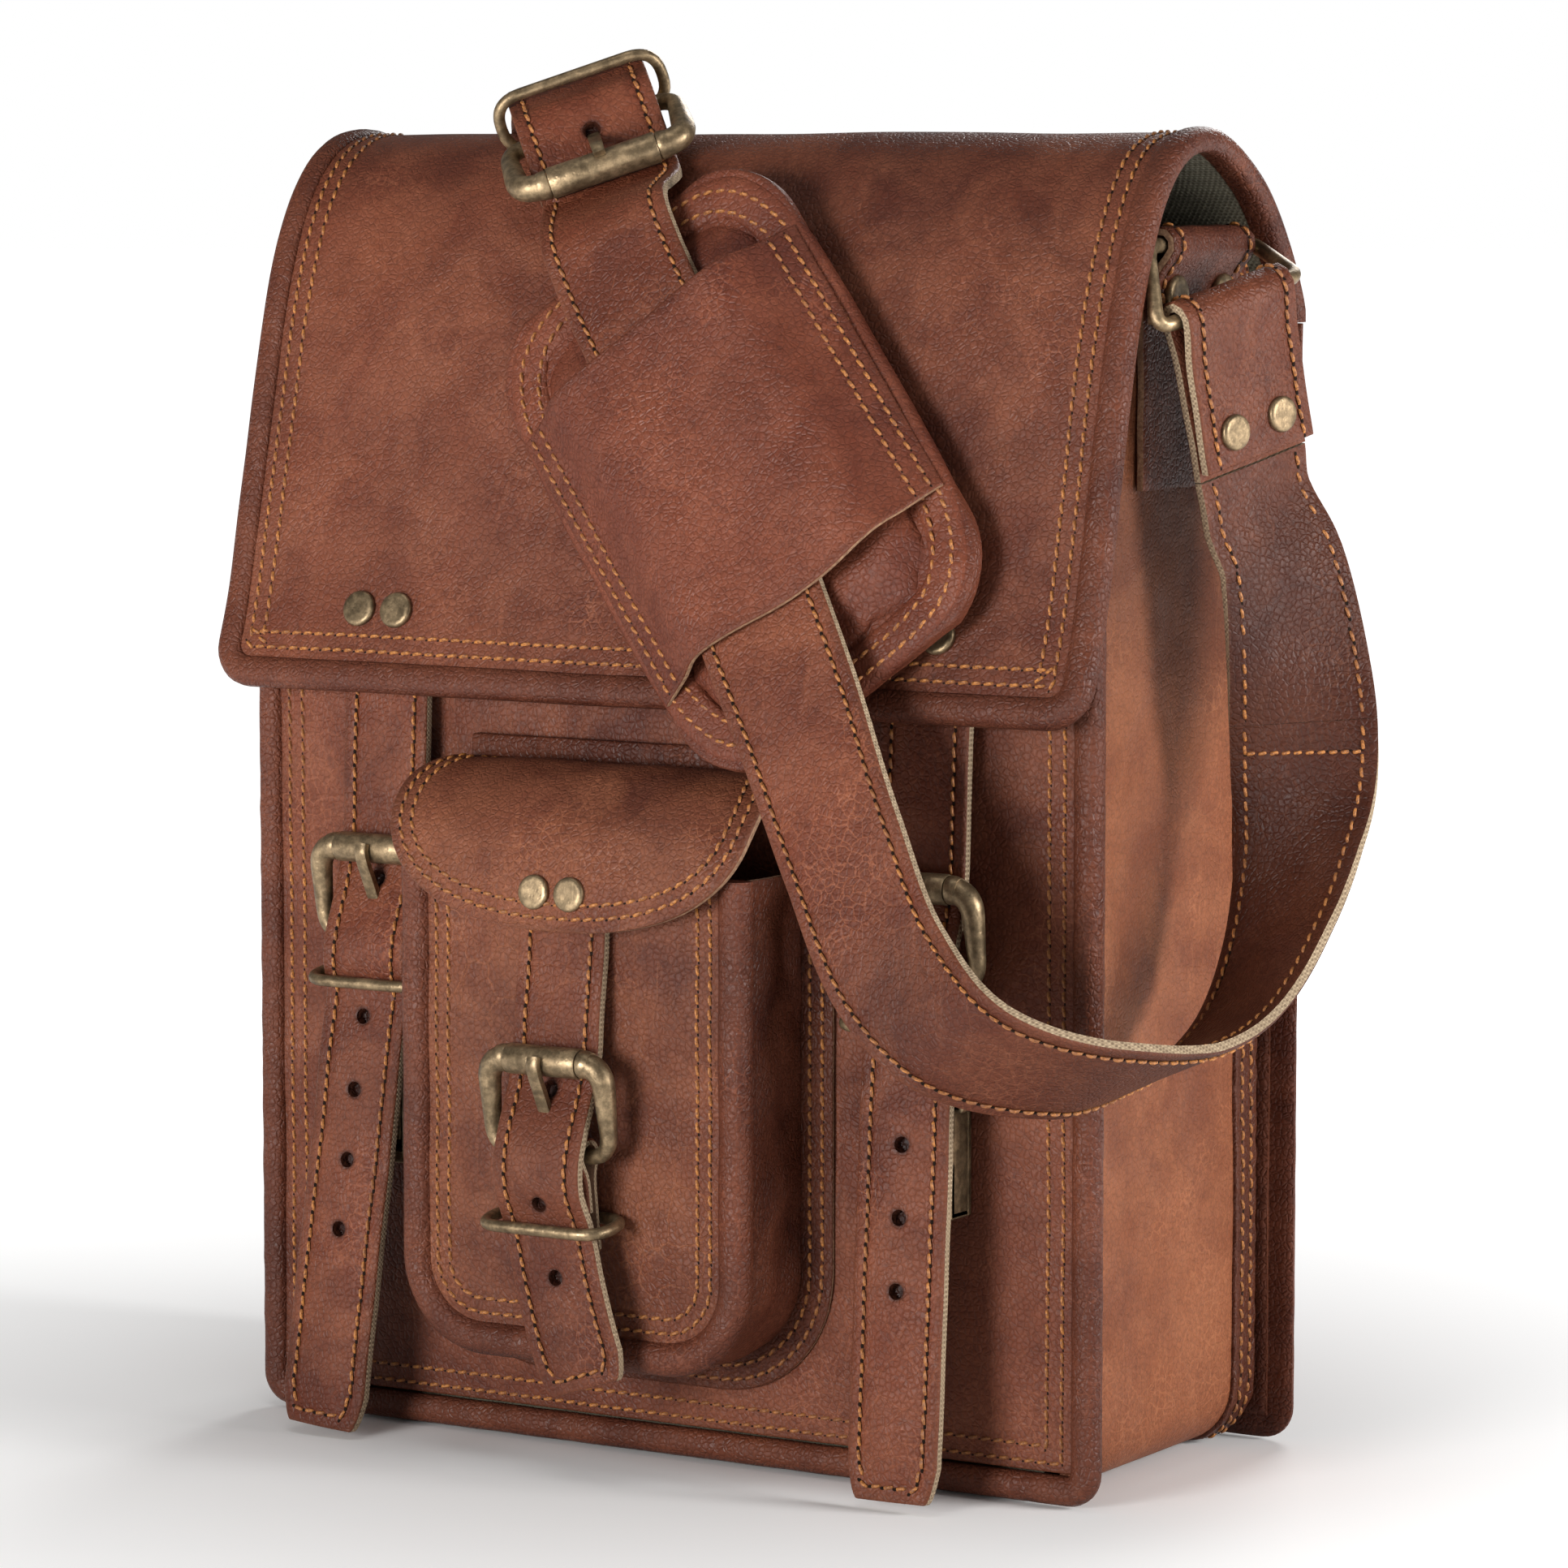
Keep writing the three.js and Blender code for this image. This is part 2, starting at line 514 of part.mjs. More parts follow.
// ---- Side rings ----
// `side` is 1 on the right. `bar` is the middle of the ring's lower bar, `along` is that bar's direction
// and `down` is the strap's.
function addRing(sideName, side, { bar, along, down }) {
  const pivot = vec(side * 123.6, 0, 303);
  const wire = 1.75;
  const top = [vec(pivot.x, pivot.y - 27, pivot.z), vec(pivot.x, pivot.y + 27, pivot.z)];
  const bottom = [1, -1].map((s) => bar.clone().addScaledVector(along, s * 24));
  piece("ring_" + sideName, wireLoop([...top, ...bottom], 3.5, wire), "brass");

  // Tab: up the gusset, round the ring's upper bar and down again, held by two rivets.
  const r = wire + 0.5 + 1.3;
  const roll = [];
  for (let i = 0; i <= 6; i += 1) {
    const a = Math.PI - (Math.PI * 1.1 * i) / 6;
    roll.push([pivot.x + side * r * Math.cos(a), pivot.z + r * Math.sin(a)]);
  }
  const x = side * 118.65;
  const path = [[x, 246], [x, 270], [x, 294], ...roll, [x + side * 3.1, 294], [x + side * 2.95, 284]];
  const tab = band(path.map(([px, pz]) => ({ at: [px, pivot.y, pz], across: [0, 1, 0] })), 42, 2.5, 30);
  const tabRivets = [-12, 12].map((dy) => vec(x + side * 4.1, pivot.y + dy, 291));
  const caps = tabRivets.map((at) => rivet(at, vec(side, 0, 0), 1.2));
  piece("tab_" + sideName, joined(tab, ...caps), "darkLeather");

  // The strap's end, folded round the lower bar and riveted to itself.
  const out = down.clone().cross(along).normalize();
  if (out.x * side < 0) out.negate();
  const place = (n, d) => bar.clone().addScaledVector(out, n).addScaledVector(down, d).toArray();
  const fold = wire + 0.35 + LEATHER / 2;
  const turn = [];
  for (let i = 0; i <= 6; i += 1) {
    const a = (Math.PI * i) / 6;
    turn.push([fold * Math.cos(a), -fold * Math.sin(a)]);
  }
  const stations = [[1.7, 38], [1.8, 24], [2.4, 10], ...turn, [-2.4, 10], [-1.8, 24], [-1.7, FOLD_LENGTH]];
  const route = stations.map(([n, d]) => ({ at: place(n, d), across: along.toArray() }));
  const folded = band(route, STRAP_W, LEATHER, 36);
  const rivetsAt = [-8, 8].map((s) => vec(...place(3.2, 30)).addScaledVector(along, s));
  piece("strap_end_" + sideName, cut(folded, ...rivetsAt.map((p) => rivetHole(p, out))), "leather");
  rivetsAt.forEach((p, i) => piece("strap_rivet_" + sideName + "_" + (i + 1), rivet(p, out, 6.4), "brass"));
  return { at: place(-1.7, FOLD_LENGTH + GAP), next: place(-1.7, FOLD_LENGTH + 12), across: along.toArray() };
}

// ---- Shoulder strap ----
const DROP_SHARE = 0.13; // share of the long strap's route that bends with the ring and the strap
const SIDE_SHARE = 0.4; // the same for the buckle strap
const PAD = {
  at: vec(27.3, -56.9, 248.6), lean: Math.atan(0.25), turn: 0.68,
  length: 141, width: 96, radius: 24, sleeveLength: 82,
};

function addShoulderStrap(rightEnd, leftEnd) {
  // The buckle: a frame of axes set by the strap's heading over the ridge.
  const heading = vec(0.61, -0.65, -0.45).normalize();
  const across = vec(-0.87, -0.41, -0.25);
  across.addScaledVector(heading, -across.dot(heading)).normalize();
  const outward = across.clone().cross(heading);
  const spec = {
    halfWidth: 22.6, reach: 22, bar: 2.5, rollerLength: 28.5,
    keeperY: -9.5, keeperHalf: 21.5, keeperLow: -5.8, keeperHigh: 10,
  };
  const rollerAt = vec(-24.5, -37.5, 322);
  const heel = rollerAt.clone().addScaledVector(heading, -spec.reach);
  const group = new THREE.Group();
  group.matrix.makeBasis(across, heading, outward).setPosition(heel);
  group.matrixAutoUpdate = false;
  satchel.add(group);
  group.updateMatrixWorld(true);
  addBuckle("shoulder", group, spec);
  const local = (y, z) => vec(0, y, z).applyMatrix4(group.matrix).toArray();
  const w = across.clone().negate().toArray();

  // The long strap: tail over the ridge, keeper, heel bar, roller, pad, hanging loop, up to the right ring.
  const long = [
    { at: [-72, 30.5, 326], across: [0.72, 0.56, -0.4] },
    { at: [-66, 19, 334], across: [0.8, 0.57, -0.1] },
    { at: [-59, 4, 340], across: [0.87, 0.45, 0.05] },
    { at: local(-14, 5.6), across: w },
    { at: local(-7, 5.9), across: w },
    { at: local(0, 7.2), across: w },
    { at: local(7, 3), across: w },
    { at: local(spec.reach - 4, -5.2), across: w },
    { at: local(spec.reach + 2, -6.2), across: w },
    { at: [-16, -50.5, 308.5], across: [0.9, 0.14, 0.38] },
    { at: [-9, -54.5, 297.5], across: [0.88, 0.12, 0.45] },
    { at: [3.4, -59, 280], across: [0.85, 0.12, 0.5] },
    { at: [24.8, -67.4, 248.8], across: [0.85, 0.125, 0.5] },
    { at: [44.6, -75.6, 216.2], across: [0.84, 0.13, 0.53] },
    { at: [60, -83, 192], across: [0.84, 0.08, 0.53] },
    { at: [77.8, -92, 162], across: [0.86, -0.02, 0.52] },
    { at: [96, -99, 134], across: [0.8, -0.05, 0.6] },
    { at: [118, -101, 118], across: [0.68, -0.3, 0.66] },
    { at: [138, -85, 110.5], across: [0.6, -0.55, 0.58] },
    { at: [146, -55, 110], across: [0.75, -0.58, 0.3] },
    { at: [150, -28, 119], across: [0.85, -0.48, 0.22] },
    { at: [151, -9, 137.5], across: [0.93, -0.3, 0.2] },
    { at: [151, 1.5, 157.3], across: [0.96, -0.1, 0.1] },
    { at: [150, 6, 176], across: [0.93, 0.3, 0.05] },
    { at: [148, 6.5, 200], across: [0.7, 0.7, 0.03] },
    { at: [144, 4.5, 226], across: [0.45, 0.88, 0.1] },
    { at: rightEnd.next, across: rightEnd.across },
    { at: rightEnd.at, across: rightEnd.across },
  ];
  const prongSlot = new THREE.BoxGeometry(4, 13.5, 40).translate(0, 11.7, 0).applyMatrix4(group.matrix);
  const wide = band([...long].reverse(), STRAP_W, LEATHER, 110, { from: DROP_SHARE + 0.002, tipLength: 14 });
  piece("long_strap", cut(wide, prongSlot), "leather");
  const drop = band([...long].reverse(), STRAP_W, LEATHER, 18, { to: DROP_SHARE });
  piece("strap_drop_right", drop, "leather");

  // The buckle strap comes from the left ring over the flap's rear shoulder and folds round the heel bar.
  const r = spec.bar + GAP + 1.1;
  const wrap = [];
  for (let i = 1; i <= 6; i += 1) {
    const a = (Math.PI * i) / 6;
    wrap.push({ at: local(r * Math.sin(a), r * Math.cos(a)), across: w });
  }
  const short = [
    { at: leftEnd.at, across: [0, 1, 0] },
    { at: leftEnd.next, across: [0, 1, 0] },
    { at: [-141, 4, 219], across: [0.3, 0.95, 0] },
    { at: [-149, 14, 213], across: [0.6, 0.8, 0] },
    { at: [-156, 25, 222], across: [0.4, 0.9, 0] },
    { at: [-159, 32, 248], across: [0.2, 0.97, 0] },
    { at: [-158, 38, 275], across: [0.15, 0.95, -0.2] },
    { at: [-151, 42.5, 295], across: [0.1, 0.7, -0.6] },
    { at: [-139, 44.6, 303.6], across: [0.05, 0.5, -0.8] },
    { at: [-126, 45, 303.8], across: [0, 0.55, -0.83] },
    { at: [-110, 43.4, 305.4], across: [0.2, 0.55, -0.8] },
    { at: [-92, 38, 312], across: [0.45, 0.58, -0.65] },
    { at: [-77, 28, 321], across: [0.66, 0.58, -0.45] },
    { at: [-68, 16, 328.8], across: [0.8, 0.56, -0.15] },
    { at: [-58.5, 2, 334], across: [0.87, 0.45, 0.05] },
    { at: local(-14, 1.5), across: w },
    { at: local(-6, 1.9), across: w },
    { at: local(-1.5, 4), across: w },
    ...wrap,
    { at: local(-6, -2.6), across: w },
    { at: local(-13, -2), across: w },
  ];
  const eyeSlot = new THREE.BoxGeometry(5, 16, 16).translate(0, 1.4, 0).applyMatrix4(group.matrix);
  const narrow = band(short, STRAP_W - 2, 2.2, 70, { from: SIDE_SHARE + 0.002 });
  piece("buckle_strap", cut(narrow, eyeSlot), "leather");
  piece("strap_drop_left", band(short, STRAP_W - 2, 2.2, 26, { to: SIDE_SHARE }), "leather");

  addPad();
}

// ---- Shoulder pad ----
// In its own frame the pad's length is Y, its width X and +Z faces out. The strap runs through the sleeve
// on its face.
function addPad() {
  const group = new THREE.Group();
  group.position.copy(PAD.at);
  group.rotation.set(Math.PI / 2 - PAD.lean, 0, 0);
  satchel.add(group);
  const turned = new THREE.Group();
  turned.rotation.z = PAD.turn;
  group.add(turned);
  const [a, b] = [PAD.width / 2, PAD.length / 2];
  const shape = new THREE.Shape();
  shape.moveTo(-a + PAD.radius, -b);
  shape.lineTo(a - PAD.radius, -b);
  shape.quadraticCurveTo(a, -b, a, -b + PAD.radius);
  shape.lineTo(a, b - PAD.radius);
  shape.quadraticCurveTo(a, b, a - PAD.radius, b);
  shape.lineTo(-a + PAD.radius, b);
  shape.quadraticCurveTo(-a, b, -a, b - PAD.radius);
  shape.lineTo(-a, -b + PAD.radius);
  shape.quadraticCurveTo(-a, -b, -a + PAD.radius, -b);
  const pad = new THREE.ExtrudeGeometry(shape, {
    depth: 4, curveSegments: 5,
    bevelEnabled: true, bevelThickness: 2.5, bevelSize: 2, bevelOffset: -2, bevelSegments: 2,
  });
  pad.translate(0, 0, -1.2);

  const path = [[-a + 3, 4], [-a + 12, 8.4], [-27, 14.7], [0, 15.2], [27, 14.7], [a - 12, 8.4], [a - 3, 4]];
  const outline = [...smooth(path, 16)];
  const strip = [...outline, ...offset(outline, -1.8).reverse()].map(([x, z]) => new THREE.Vector2(x, z));
  const options = { depth: PAD.sleeveLength, bevelEnabled: false };
  const sleeve = new THREE.ExtrudeGeometry(new THREE.Shape(strip), options);
  sleeve.rotateX(Math.PI / 2).translate(0, PAD.sleeveLength / 2, 0);
  piece("pad", joined(pad, sleeve), "darkLeather", turned);
}

// ---- Assembly ----
addBody();
const pocketFlap = addPocket();
addPocketClosure(pocketFlap);
addFlap();
addClosure("left", -CLOSURE_X, -9);
addClosure("right", CLOSURE_X, 2);
const rightEnd = addRing("right", 1, {
  bar: vec(138, -12.5, 289.5),
  along: vec(0.31, 0.92, 0.25).normalize(),
  down: vec(0.08, 0.3, -0.93).normalize(),
});
const leftEnd = addRing("left", -1, {
  bar: vec(-134, 0, 285.5),
  along: vec(0, 1, 0),
  down: vec(0, 0, -1),
});
addShoulderStrap(rightEnd, leftEnd);

export default satchel;
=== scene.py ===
"""A waxed leather messenger satchel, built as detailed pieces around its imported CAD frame.

Sizes are millimetres until a piece is finished, and metres from there on. The front faces -Y.
"""
import math

import bmesh
import bpy
import numpy as np
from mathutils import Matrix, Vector


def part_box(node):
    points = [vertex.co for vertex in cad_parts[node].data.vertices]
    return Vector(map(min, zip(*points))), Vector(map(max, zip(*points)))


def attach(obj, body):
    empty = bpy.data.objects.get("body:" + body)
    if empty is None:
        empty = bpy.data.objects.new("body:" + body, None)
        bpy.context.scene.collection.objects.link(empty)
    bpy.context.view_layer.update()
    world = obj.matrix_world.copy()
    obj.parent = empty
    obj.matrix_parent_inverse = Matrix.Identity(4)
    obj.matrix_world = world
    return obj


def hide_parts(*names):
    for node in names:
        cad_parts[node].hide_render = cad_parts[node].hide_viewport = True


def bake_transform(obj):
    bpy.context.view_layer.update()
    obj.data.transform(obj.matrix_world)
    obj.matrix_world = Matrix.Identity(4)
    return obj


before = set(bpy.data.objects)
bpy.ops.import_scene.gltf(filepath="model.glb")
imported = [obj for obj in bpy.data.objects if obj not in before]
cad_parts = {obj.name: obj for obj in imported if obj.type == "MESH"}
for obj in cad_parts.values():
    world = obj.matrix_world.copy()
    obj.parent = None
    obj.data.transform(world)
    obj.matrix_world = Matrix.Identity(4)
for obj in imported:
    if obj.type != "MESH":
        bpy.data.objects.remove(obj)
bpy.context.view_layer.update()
MM = 0.001


def box_mm(node):
    low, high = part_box(node)
    return np.array(low) / MM, np.array(high) / MM


# ---- Driving dimensions, in millimetres, from the frame ----
PANEL_LOW, PANEL_HIGH = box_mm("front_panel")
FRONT_Y = PANEL_LOW[1]
BACK_Y = box_mm("back_panel")[1][1]
HALF_W = box_mm("front_binding")[1][0]
BACK_HALF = box_mm("back_binding")[1][0]
GUSSET_LOW, GUSSET_HIGH = box_mm("gusset")
FLAP_HALF = box_mm("flap")[1][0]
FLAP_EDGE = box_mm("flap_binding")[1][0]
POCKET_LOW, POCKET_HIGH = box_mm("pocket_front")
POCKET_X = (POCKET_LOW[0] + POCKET_HIGH[0]) / 2
HINGE_Z = box_mm("back_panel")[1][2]
STRAP_W = 36.0
CLOSURE_W = 25.0
CLOSURE_X = 79.0
LEATHER = 3.0
STITCH_PITCH = 3.5

AMBIENT = 0.17
# name, azimuth, elevation, distance, size, power
LIGHTS = [
    ("key", -7, 4, 1.3, 0.5, 15.5),
    ("side", 94, 12, 1.3, 0.5, 16.0),
    ("top", 10, 72, 1.4, 0.6, 2.2),
    ("back", 190, 30, 1.6, 0.7, 10.0),
]
CAMERA = {"azimuth": 31.6, "elevation": 5.89, "distance": 1.55, "lens": 139.7, "target": (0.00525, 0.0, 0.16516)}


# ---- Vector helpers ----
def unit(v):
    v = np.asarray(v, float)
    return v / np.maximum(np.linalg.norm(v, axis=-1, keepdims=True), 1e-12)


def catmull(points, u):
    """The centripetal Catmull-Rom curve through points, at parameters u from 0 to 1."""
    p = np.asarray(points, float)
    last = len(p) - 1
    padded = np.vstack([2 * p[0] - p[1], p, 2 * p[-1] - p[-2]])
    k = np.clip((u * last).astype(int), 0, last - 1)
    w = (u * last - k)[:, None]
    a, b, c, d = (padded[k + i] for i in range(4))

    def step(m, n):
        return (np.sum((n - m) ** 2, -1) ** 0.25)[:, None]

    d1 = np.where(step(b, c) < 1e-4, 1.0, step(b, c))
    d0 = np.where(step(a, b) < 1e-4, d1, step(a, b))
    d2 = np.where(step(c, d) < 1e-4, d1, step(c, d))
    t1 = ((b - a) / d0 - (c - a) / (d0 + d1) + (c - b) / d1) * d1
    t2 = ((c - b) / d1 - (d - b) / (d1 + d2) + (d - c) / d2) * d1
    return b + t1 * w + (-3 * b + 3 * c - 2 * t1 - t2) * w**2 + (2 * b - 2 * c + t1 + t2) * w**3


def wobble(p, size, seed=0.0):
    """Smooth unevenness between -1 and 1 over about `size` millimetres."""
    q = np.asarray(p, float) * (2 * math.pi / size)
    x, y, z = q[..., 0], q[..., 1], q[..., 2]
    waves = np.sin(x + 1.3 * z + seed) + np.sin(1.7 * y - 0.8 * x + 2 * seed) + np.sin(0.9 * z - 1.4 * y + 3 * seed)
    return waves / 3


# ---- Surfaces ----
class Surface:
    """A band swept along a line: place(a, b) gives the point `a` across and `b` along it, and its outward normal."""

    def __init__(self, line, side, relief=None):
        line = np.asarray(line, float)
        tangent = unit(np.gradient(line, axis=0))
        side = np.broadcast_to(np.asarray(side, float), line.shape)
        side = unit(side - np.sum(side * tangent, -1, keepdims=True) * tangent)
        self.line, self.side = line, side
        self.normal = unit(np.cross(tangent, side))
        steps = np.linalg.norm(np.diff(line, axis=0), axis=1)
        self.arc = np.concatenate([[0], np.cumsum(steps)])
        self.length = self.arc[-1]
        self.relief = relief

    def place(self, a, b):
        a, b = np.broadcast_arrays(np.asarray(a, float), np.asarray(b, float))

        def at(values):
            return np.stack([np.interp(b, self.arc, values[:, i]) for i in range(3)], -1)

        normal = unit(at(self.normal))
        point = at(self.line) + at(self.side) * a[..., None]
        if self.relief is not None:
            point = point + normal * self.relief(a, b, point)[..., None]
        return point, normal


def ribbon(stations, relief=None, samples=900):
    """A strap's surface through stations of (point, direction across)."""
    u = np.linspace(0, 1, samples)
    line = catmull([s[0] for s in stations], u)
    side = catmull([s[1] for s in stations], u)
    return Surface(line, side, relief)


def profile(points, side, samples=400, relief=None, smooth=True):
    """A surface with one outline, drawn out sideways."""
    u = np.linspace(0, 1, samples)
    if smooth:
        line = catmull(points, u)
    else:
        p = np.asarray(points, float)
        arc = np.concatenate([[0], np.cumsum(np.linalg.norm(np.diff(p, axis=0), axis=1))])
        line = np.stack([np.interp(u * arc[-1], arc, p[:, i]) for i in range(3)], -1)
    return Surface(line, side, relief)


def lines(low, high, step, rows=(), at=()):
    """Grid lines from low to high, closer together at both edges, at stitch rows and round given places."""
    found = set(np.linspace(low, high, max(2, int((high - low) / step) + 1)))
    for inset in (0.25, 0.7, 1.4, 2.4):
        found |= {low + inset, high - inset}
    for row in rows:
        for shift in (-1.1, -0.55, 0, 0.55, 1.1):
            found |= {low + row + shift, high - row + shift}
    for place in at:
        for shift in np.linspace(-3, 3, 13):
            found.add(place + shift)
    kept = []
    for value in sorted(v for v in found if low <= v <= high):
        if not kept or value - kept[-1] > 0.16:
            kept.append(value)
    kept[-1] = high
    return np.array(kept)


# ---- Pieces under construction ----
class Shape:
    """Vertices and faces of one piece, each face with a look and each vertex with `dark` and `wear` amounts."""

    def __init__(self):
        self.verts, self.faces, self.looks, self.dark, self.wear = [], [], [], [], []
        self.count = 0

    def add(self, verts, faces, look, dark=0.0, wear=0.0):
        verts = np.asarray(verts, float).reshape(-1, 3)
        self.verts.append(verts)
        self.dark.append(np.broadcast_to(np.asarray(dark, float).ravel(), (len(verts),)))
        self.wear.append(np.broadcast_to(np.asarray(wear, float).ravel(), (len(verts),)))
        looks = look if isinstance(look, list) else [look] * len(faces)
        self.faces.extend([[i + self.count for i in f] for f in faces])
        self.looks.extend(looks)
        self.count += len(verts)
        return self

    def sheet(self, surface, across, along, thickness, looks, span=None, rows=(), dents=(), crown=0.6, hollow=0.35, tone=None,
              runs_on=(False, False)):
        """A sheet of leather on a surface. looks are (face, back, edge). rows are stitch rows' insets, sunk a little.
        dents are punched holes, (a, b, radius). span(b) is the share of the width at b."""
        share = np.ones(len(along)) if span is None else np.array([span(b) for b in along])
        a = across[None, :] * share[:, None]
        b = np.broadcast_to(along[:, None], a.shape).copy()
        half = np.max(np.abs(across))
        from_side = np.minimum(a - across[0] * share[:, None], across[-1] * share[:, None] - a)
        far = 1e6
        from_end = np.minimum(b - along[0] + far * runs_on[0], along[-1] - b + far * runs_on[1])
        inset = np.minimum(from_side, from_end)
        lift = np.zeros(a.shape)
        for row in rows:
            lift -= hollow * np.exp(-(((inset - row) / 0.75) ** 2))
        lift -= crown * (1 - np.sqrt(np.clip(1 - (1 - np.clip(inset / (crown * 1.6), 0, 1)) ** 2, 0, 1)))
        dark = 0.35 * np.exp(-((inset / 1.6) ** 2)) if half > 3 else np.zeros(a.shape)
        if tone is not None:
            dark = np.maximum(dark, tone(b))
        for da, db, radius in dents:
            away = np.hypot(a - da, b - db)
            snap = np.abs(away - radius) < 0.36
            scale = np.where(snap, radius / np.maximum(away, 1e-6), 1.0)
            a, b = da + (a - da) * scale, db + (b - db) * scale
            away = np.hypot(a - da, b - db)
            inside = away < radius - 0.02
            lift = np.where(inside, -(thickness - 0.35), lift - 0.25 * np.exp(-(((away - radius) / 0.7) ** 2)))
            # Painted shade: each punched hole's floor and wall are painted dark, standing in for the shade of a hole
            # that goes through; the hole stops 0.35 mm short of the far face.
            dark = np.where(inside, 1.0, np.maximum(dark, 0.75 * np.exp(-(((away - radius) / 0.6) ** 2))))
        point, normal = surface.place(a, b)
        top = point + normal * lift[..., None]
        bottom = point - normal * (thickness - 0.3 * np.exp(-((inset / 0.8) ** 2)))[..., None]
        wear = np.exp(-((inset / 0.7) ** 2))
        rows_n, cols = a.shape
        index = np.arange(rows_n * cols).reshape(rows_n, cols)
        q = np.stack([index[:-1, :-1], index[:-1, 1:], index[1:, 1:], index[1:, :-1]], -1).reshape(-1, 4)
        # Across x along x normal is left-handed, so the upper faces run the other way round.
        self.add(
            np.concatenate([top.reshape(-1, 3), bottom.reshape(-1, 3)]),
            [], looks[0], np.concatenate([dark.ravel(), dark.ravel() * (0.3 if tone is None else 1.0)]), np.concatenate([wear.ravel(), wear.ravel()]),
        )
        base = self.count - 2 * index.size
        low = base + index.size
        ring = np.concatenate([index[0, :], index[1:, -1], index[-1, -2::-1], index[-2:0:-1, 0]])
        after = np.roll(ring, -1)
        self._quads(q[:, ::-1] + base, looks[0])
        self._quads(q + low, looks[1])
        self._quads(np.stack([ring + base, after + base, after + low, ring + low], -1), looks[2])
        return self

    def _quads(self, quads, look):
        self.faces.extend(quads.tolist())
        self.looks.extend([look] * len(quads))

    def sweep(self, points, sections, look, closed=True, caps=True, dark=0.0, wear=0.0):
        """Joins rings of points: sections[i] is ring i, all rings having as many points."""
        rings = np.asarray(sections, float)
        n, m = rings.shape[:2]
        index = np.arange(n * m).reshape(n, m)
        nxt = np.roll(index, -1, axis=1)
        first, second = (index, np.roll(index, -1, axis=0)) if closed else (index[:-1], index[1:])
        n1, n2 = (nxt, np.roll(nxt, -1, axis=0)) if closed else (nxt[:-1], nxt[1:])
        quads = np.stack([first, n1, n2, second], -1).reshape(-1, 4).tolist()
        if not closed and caps:
            quads += [index[0, ::-1].tolist(), index[-1].tolist()]
        return self.add(rings.reshape(-1, 3), quads, look, dark, wear)

    def tube(self, points, radii, look, closed=False, sides=14, up=None, flatten=1.0):
        """A round bar along points."""
        points = np.asarray(points, float)
        radii = np.broadcast_to(np.asarray(radii, float), (len(points),))
        if closed:
            tangent = unit(np.roll(points, -1, axis=0) - np.roll(points, 1, axis=0))
        else:
            tangent = unit(np.gradient(points, axis=0))
        up = np.array([0.0, 0.0, 1.0]) if up is None else np.asarray(up, float)
        u = unit(up - np.sum(tangent * up, -1, keepdims=True) * tangent)
        v = np.cross(tangent, u)
        angle = np.linspace(0, 2 * math.pi, sides, endpoint=False)
        offset = np.cos(angle)[None, :, None] * u[:, None] * flatten + np.sin(angle)[None, :, None] * v[:, None]
        return self.sweep(points, points[:, None] + offset * radii[:, None, None], look, closed)

    def turned(self, at, axis, outline, look, sides=28):
        """A lathe shape: outline is (radius, height) pairs from the axis round to the axis."""
        axis = unit(axis)
        helper = np.array([1.0, 0, 0]) if abs(axis[0]) < 0.8 else np.array([0, 1.0, 0])
        u = unit(np.cross(axis, helper))
        v = np.cross(axis, u)
        angle = np.linspace(0, 2 * math.pi, sides, endpoint=False)
        around = np.cos(angle)[:, None] * u + np.sin(angle)[:, None] * v
        rings = [np.asarray(at) + axis * h + around * max(r, 0.01) for r, h in outline]
        return self.sweep(None, rings, look, closed=False)

    def block(self, low, high, look, bevel=0.5):
        """A box with rounded edges, from rounded-rectangle rings."""
        low, high = np.asarray(low, float), np.asarray(high, float)
        middle, half = (low + high) / 2, (high - low) / 2
        bevel = min(bevel, *(half * 0.49))
        corner = np.linspace(0, math.pi / 2, 4)
        rings = []
        for s in list(-np.cos(corner)) + list(np.sin(corner)):
            inset = bevel * (1 - math.sqrt(max(0, 1 - s * s)))
            z = np.sign(s) * (half[2] - bevel) + bevel * s
            ring = []
            for quarter in range(4):
                for c in corner:
                    angle = quarter * math.pi / 2 + c
                    sx, sy = ((1, 1), (-1, 1), (-1, -1), (1, -1))[quarter]
                    x = sx * (half[0] - bevel) + (bevel - inset) * math.cos(angle)
                    y = sy * (half[1] - bevel) + (bevel - inset) * math.sin(angle)
                    ring.append(middle + np.array([x, y, z]))
            rings.append(ring)
        return self.sweep(None, rings, look, closed=False)

    def trim(self, surface, outline, section, look, closed=False):
        """A rolled edge: section is (inset, height) points, swept along an outline of (a, b) with mitred corners."""
        outline = np.asarray(outline, float)
        point, normal = surface.place(outline[:, 0], outline[:, 1])
        if closed:
            ahead, behind = np.roll(point, -1, axis=0) - point, point - np.roll(point, 1, axis=0)
        else:
            ahead = np.vstack([np.diff(point, axis=0), point[-1:] - point[-2:-1]])
            behind = np.vstack([point[1:2] - point[:1], np.diff(point, axis=0)])
        in_a, in_b = unit(np.cross(normal, unit(ahead))), unit(np.cross(normal, unit(behind)))
        inward = (in_a + in_b) / np.maximum(1 + np.sum(in_a * in_b, -1, keepdims=True), 0.4)
        section = np.asarray(section, float)
        rings = point[:, None] + inward[:, None] * section[None, :, :1] + normal[:, None] * section[None, :, 1:]
        wear = np.broadcast_to((section[:, 1] > section[:, 1].max() - 0.8) * 0.35, (len(point), len(section)))
        return self.sweep(None, rings, look, closed, wear=wear.ravel())

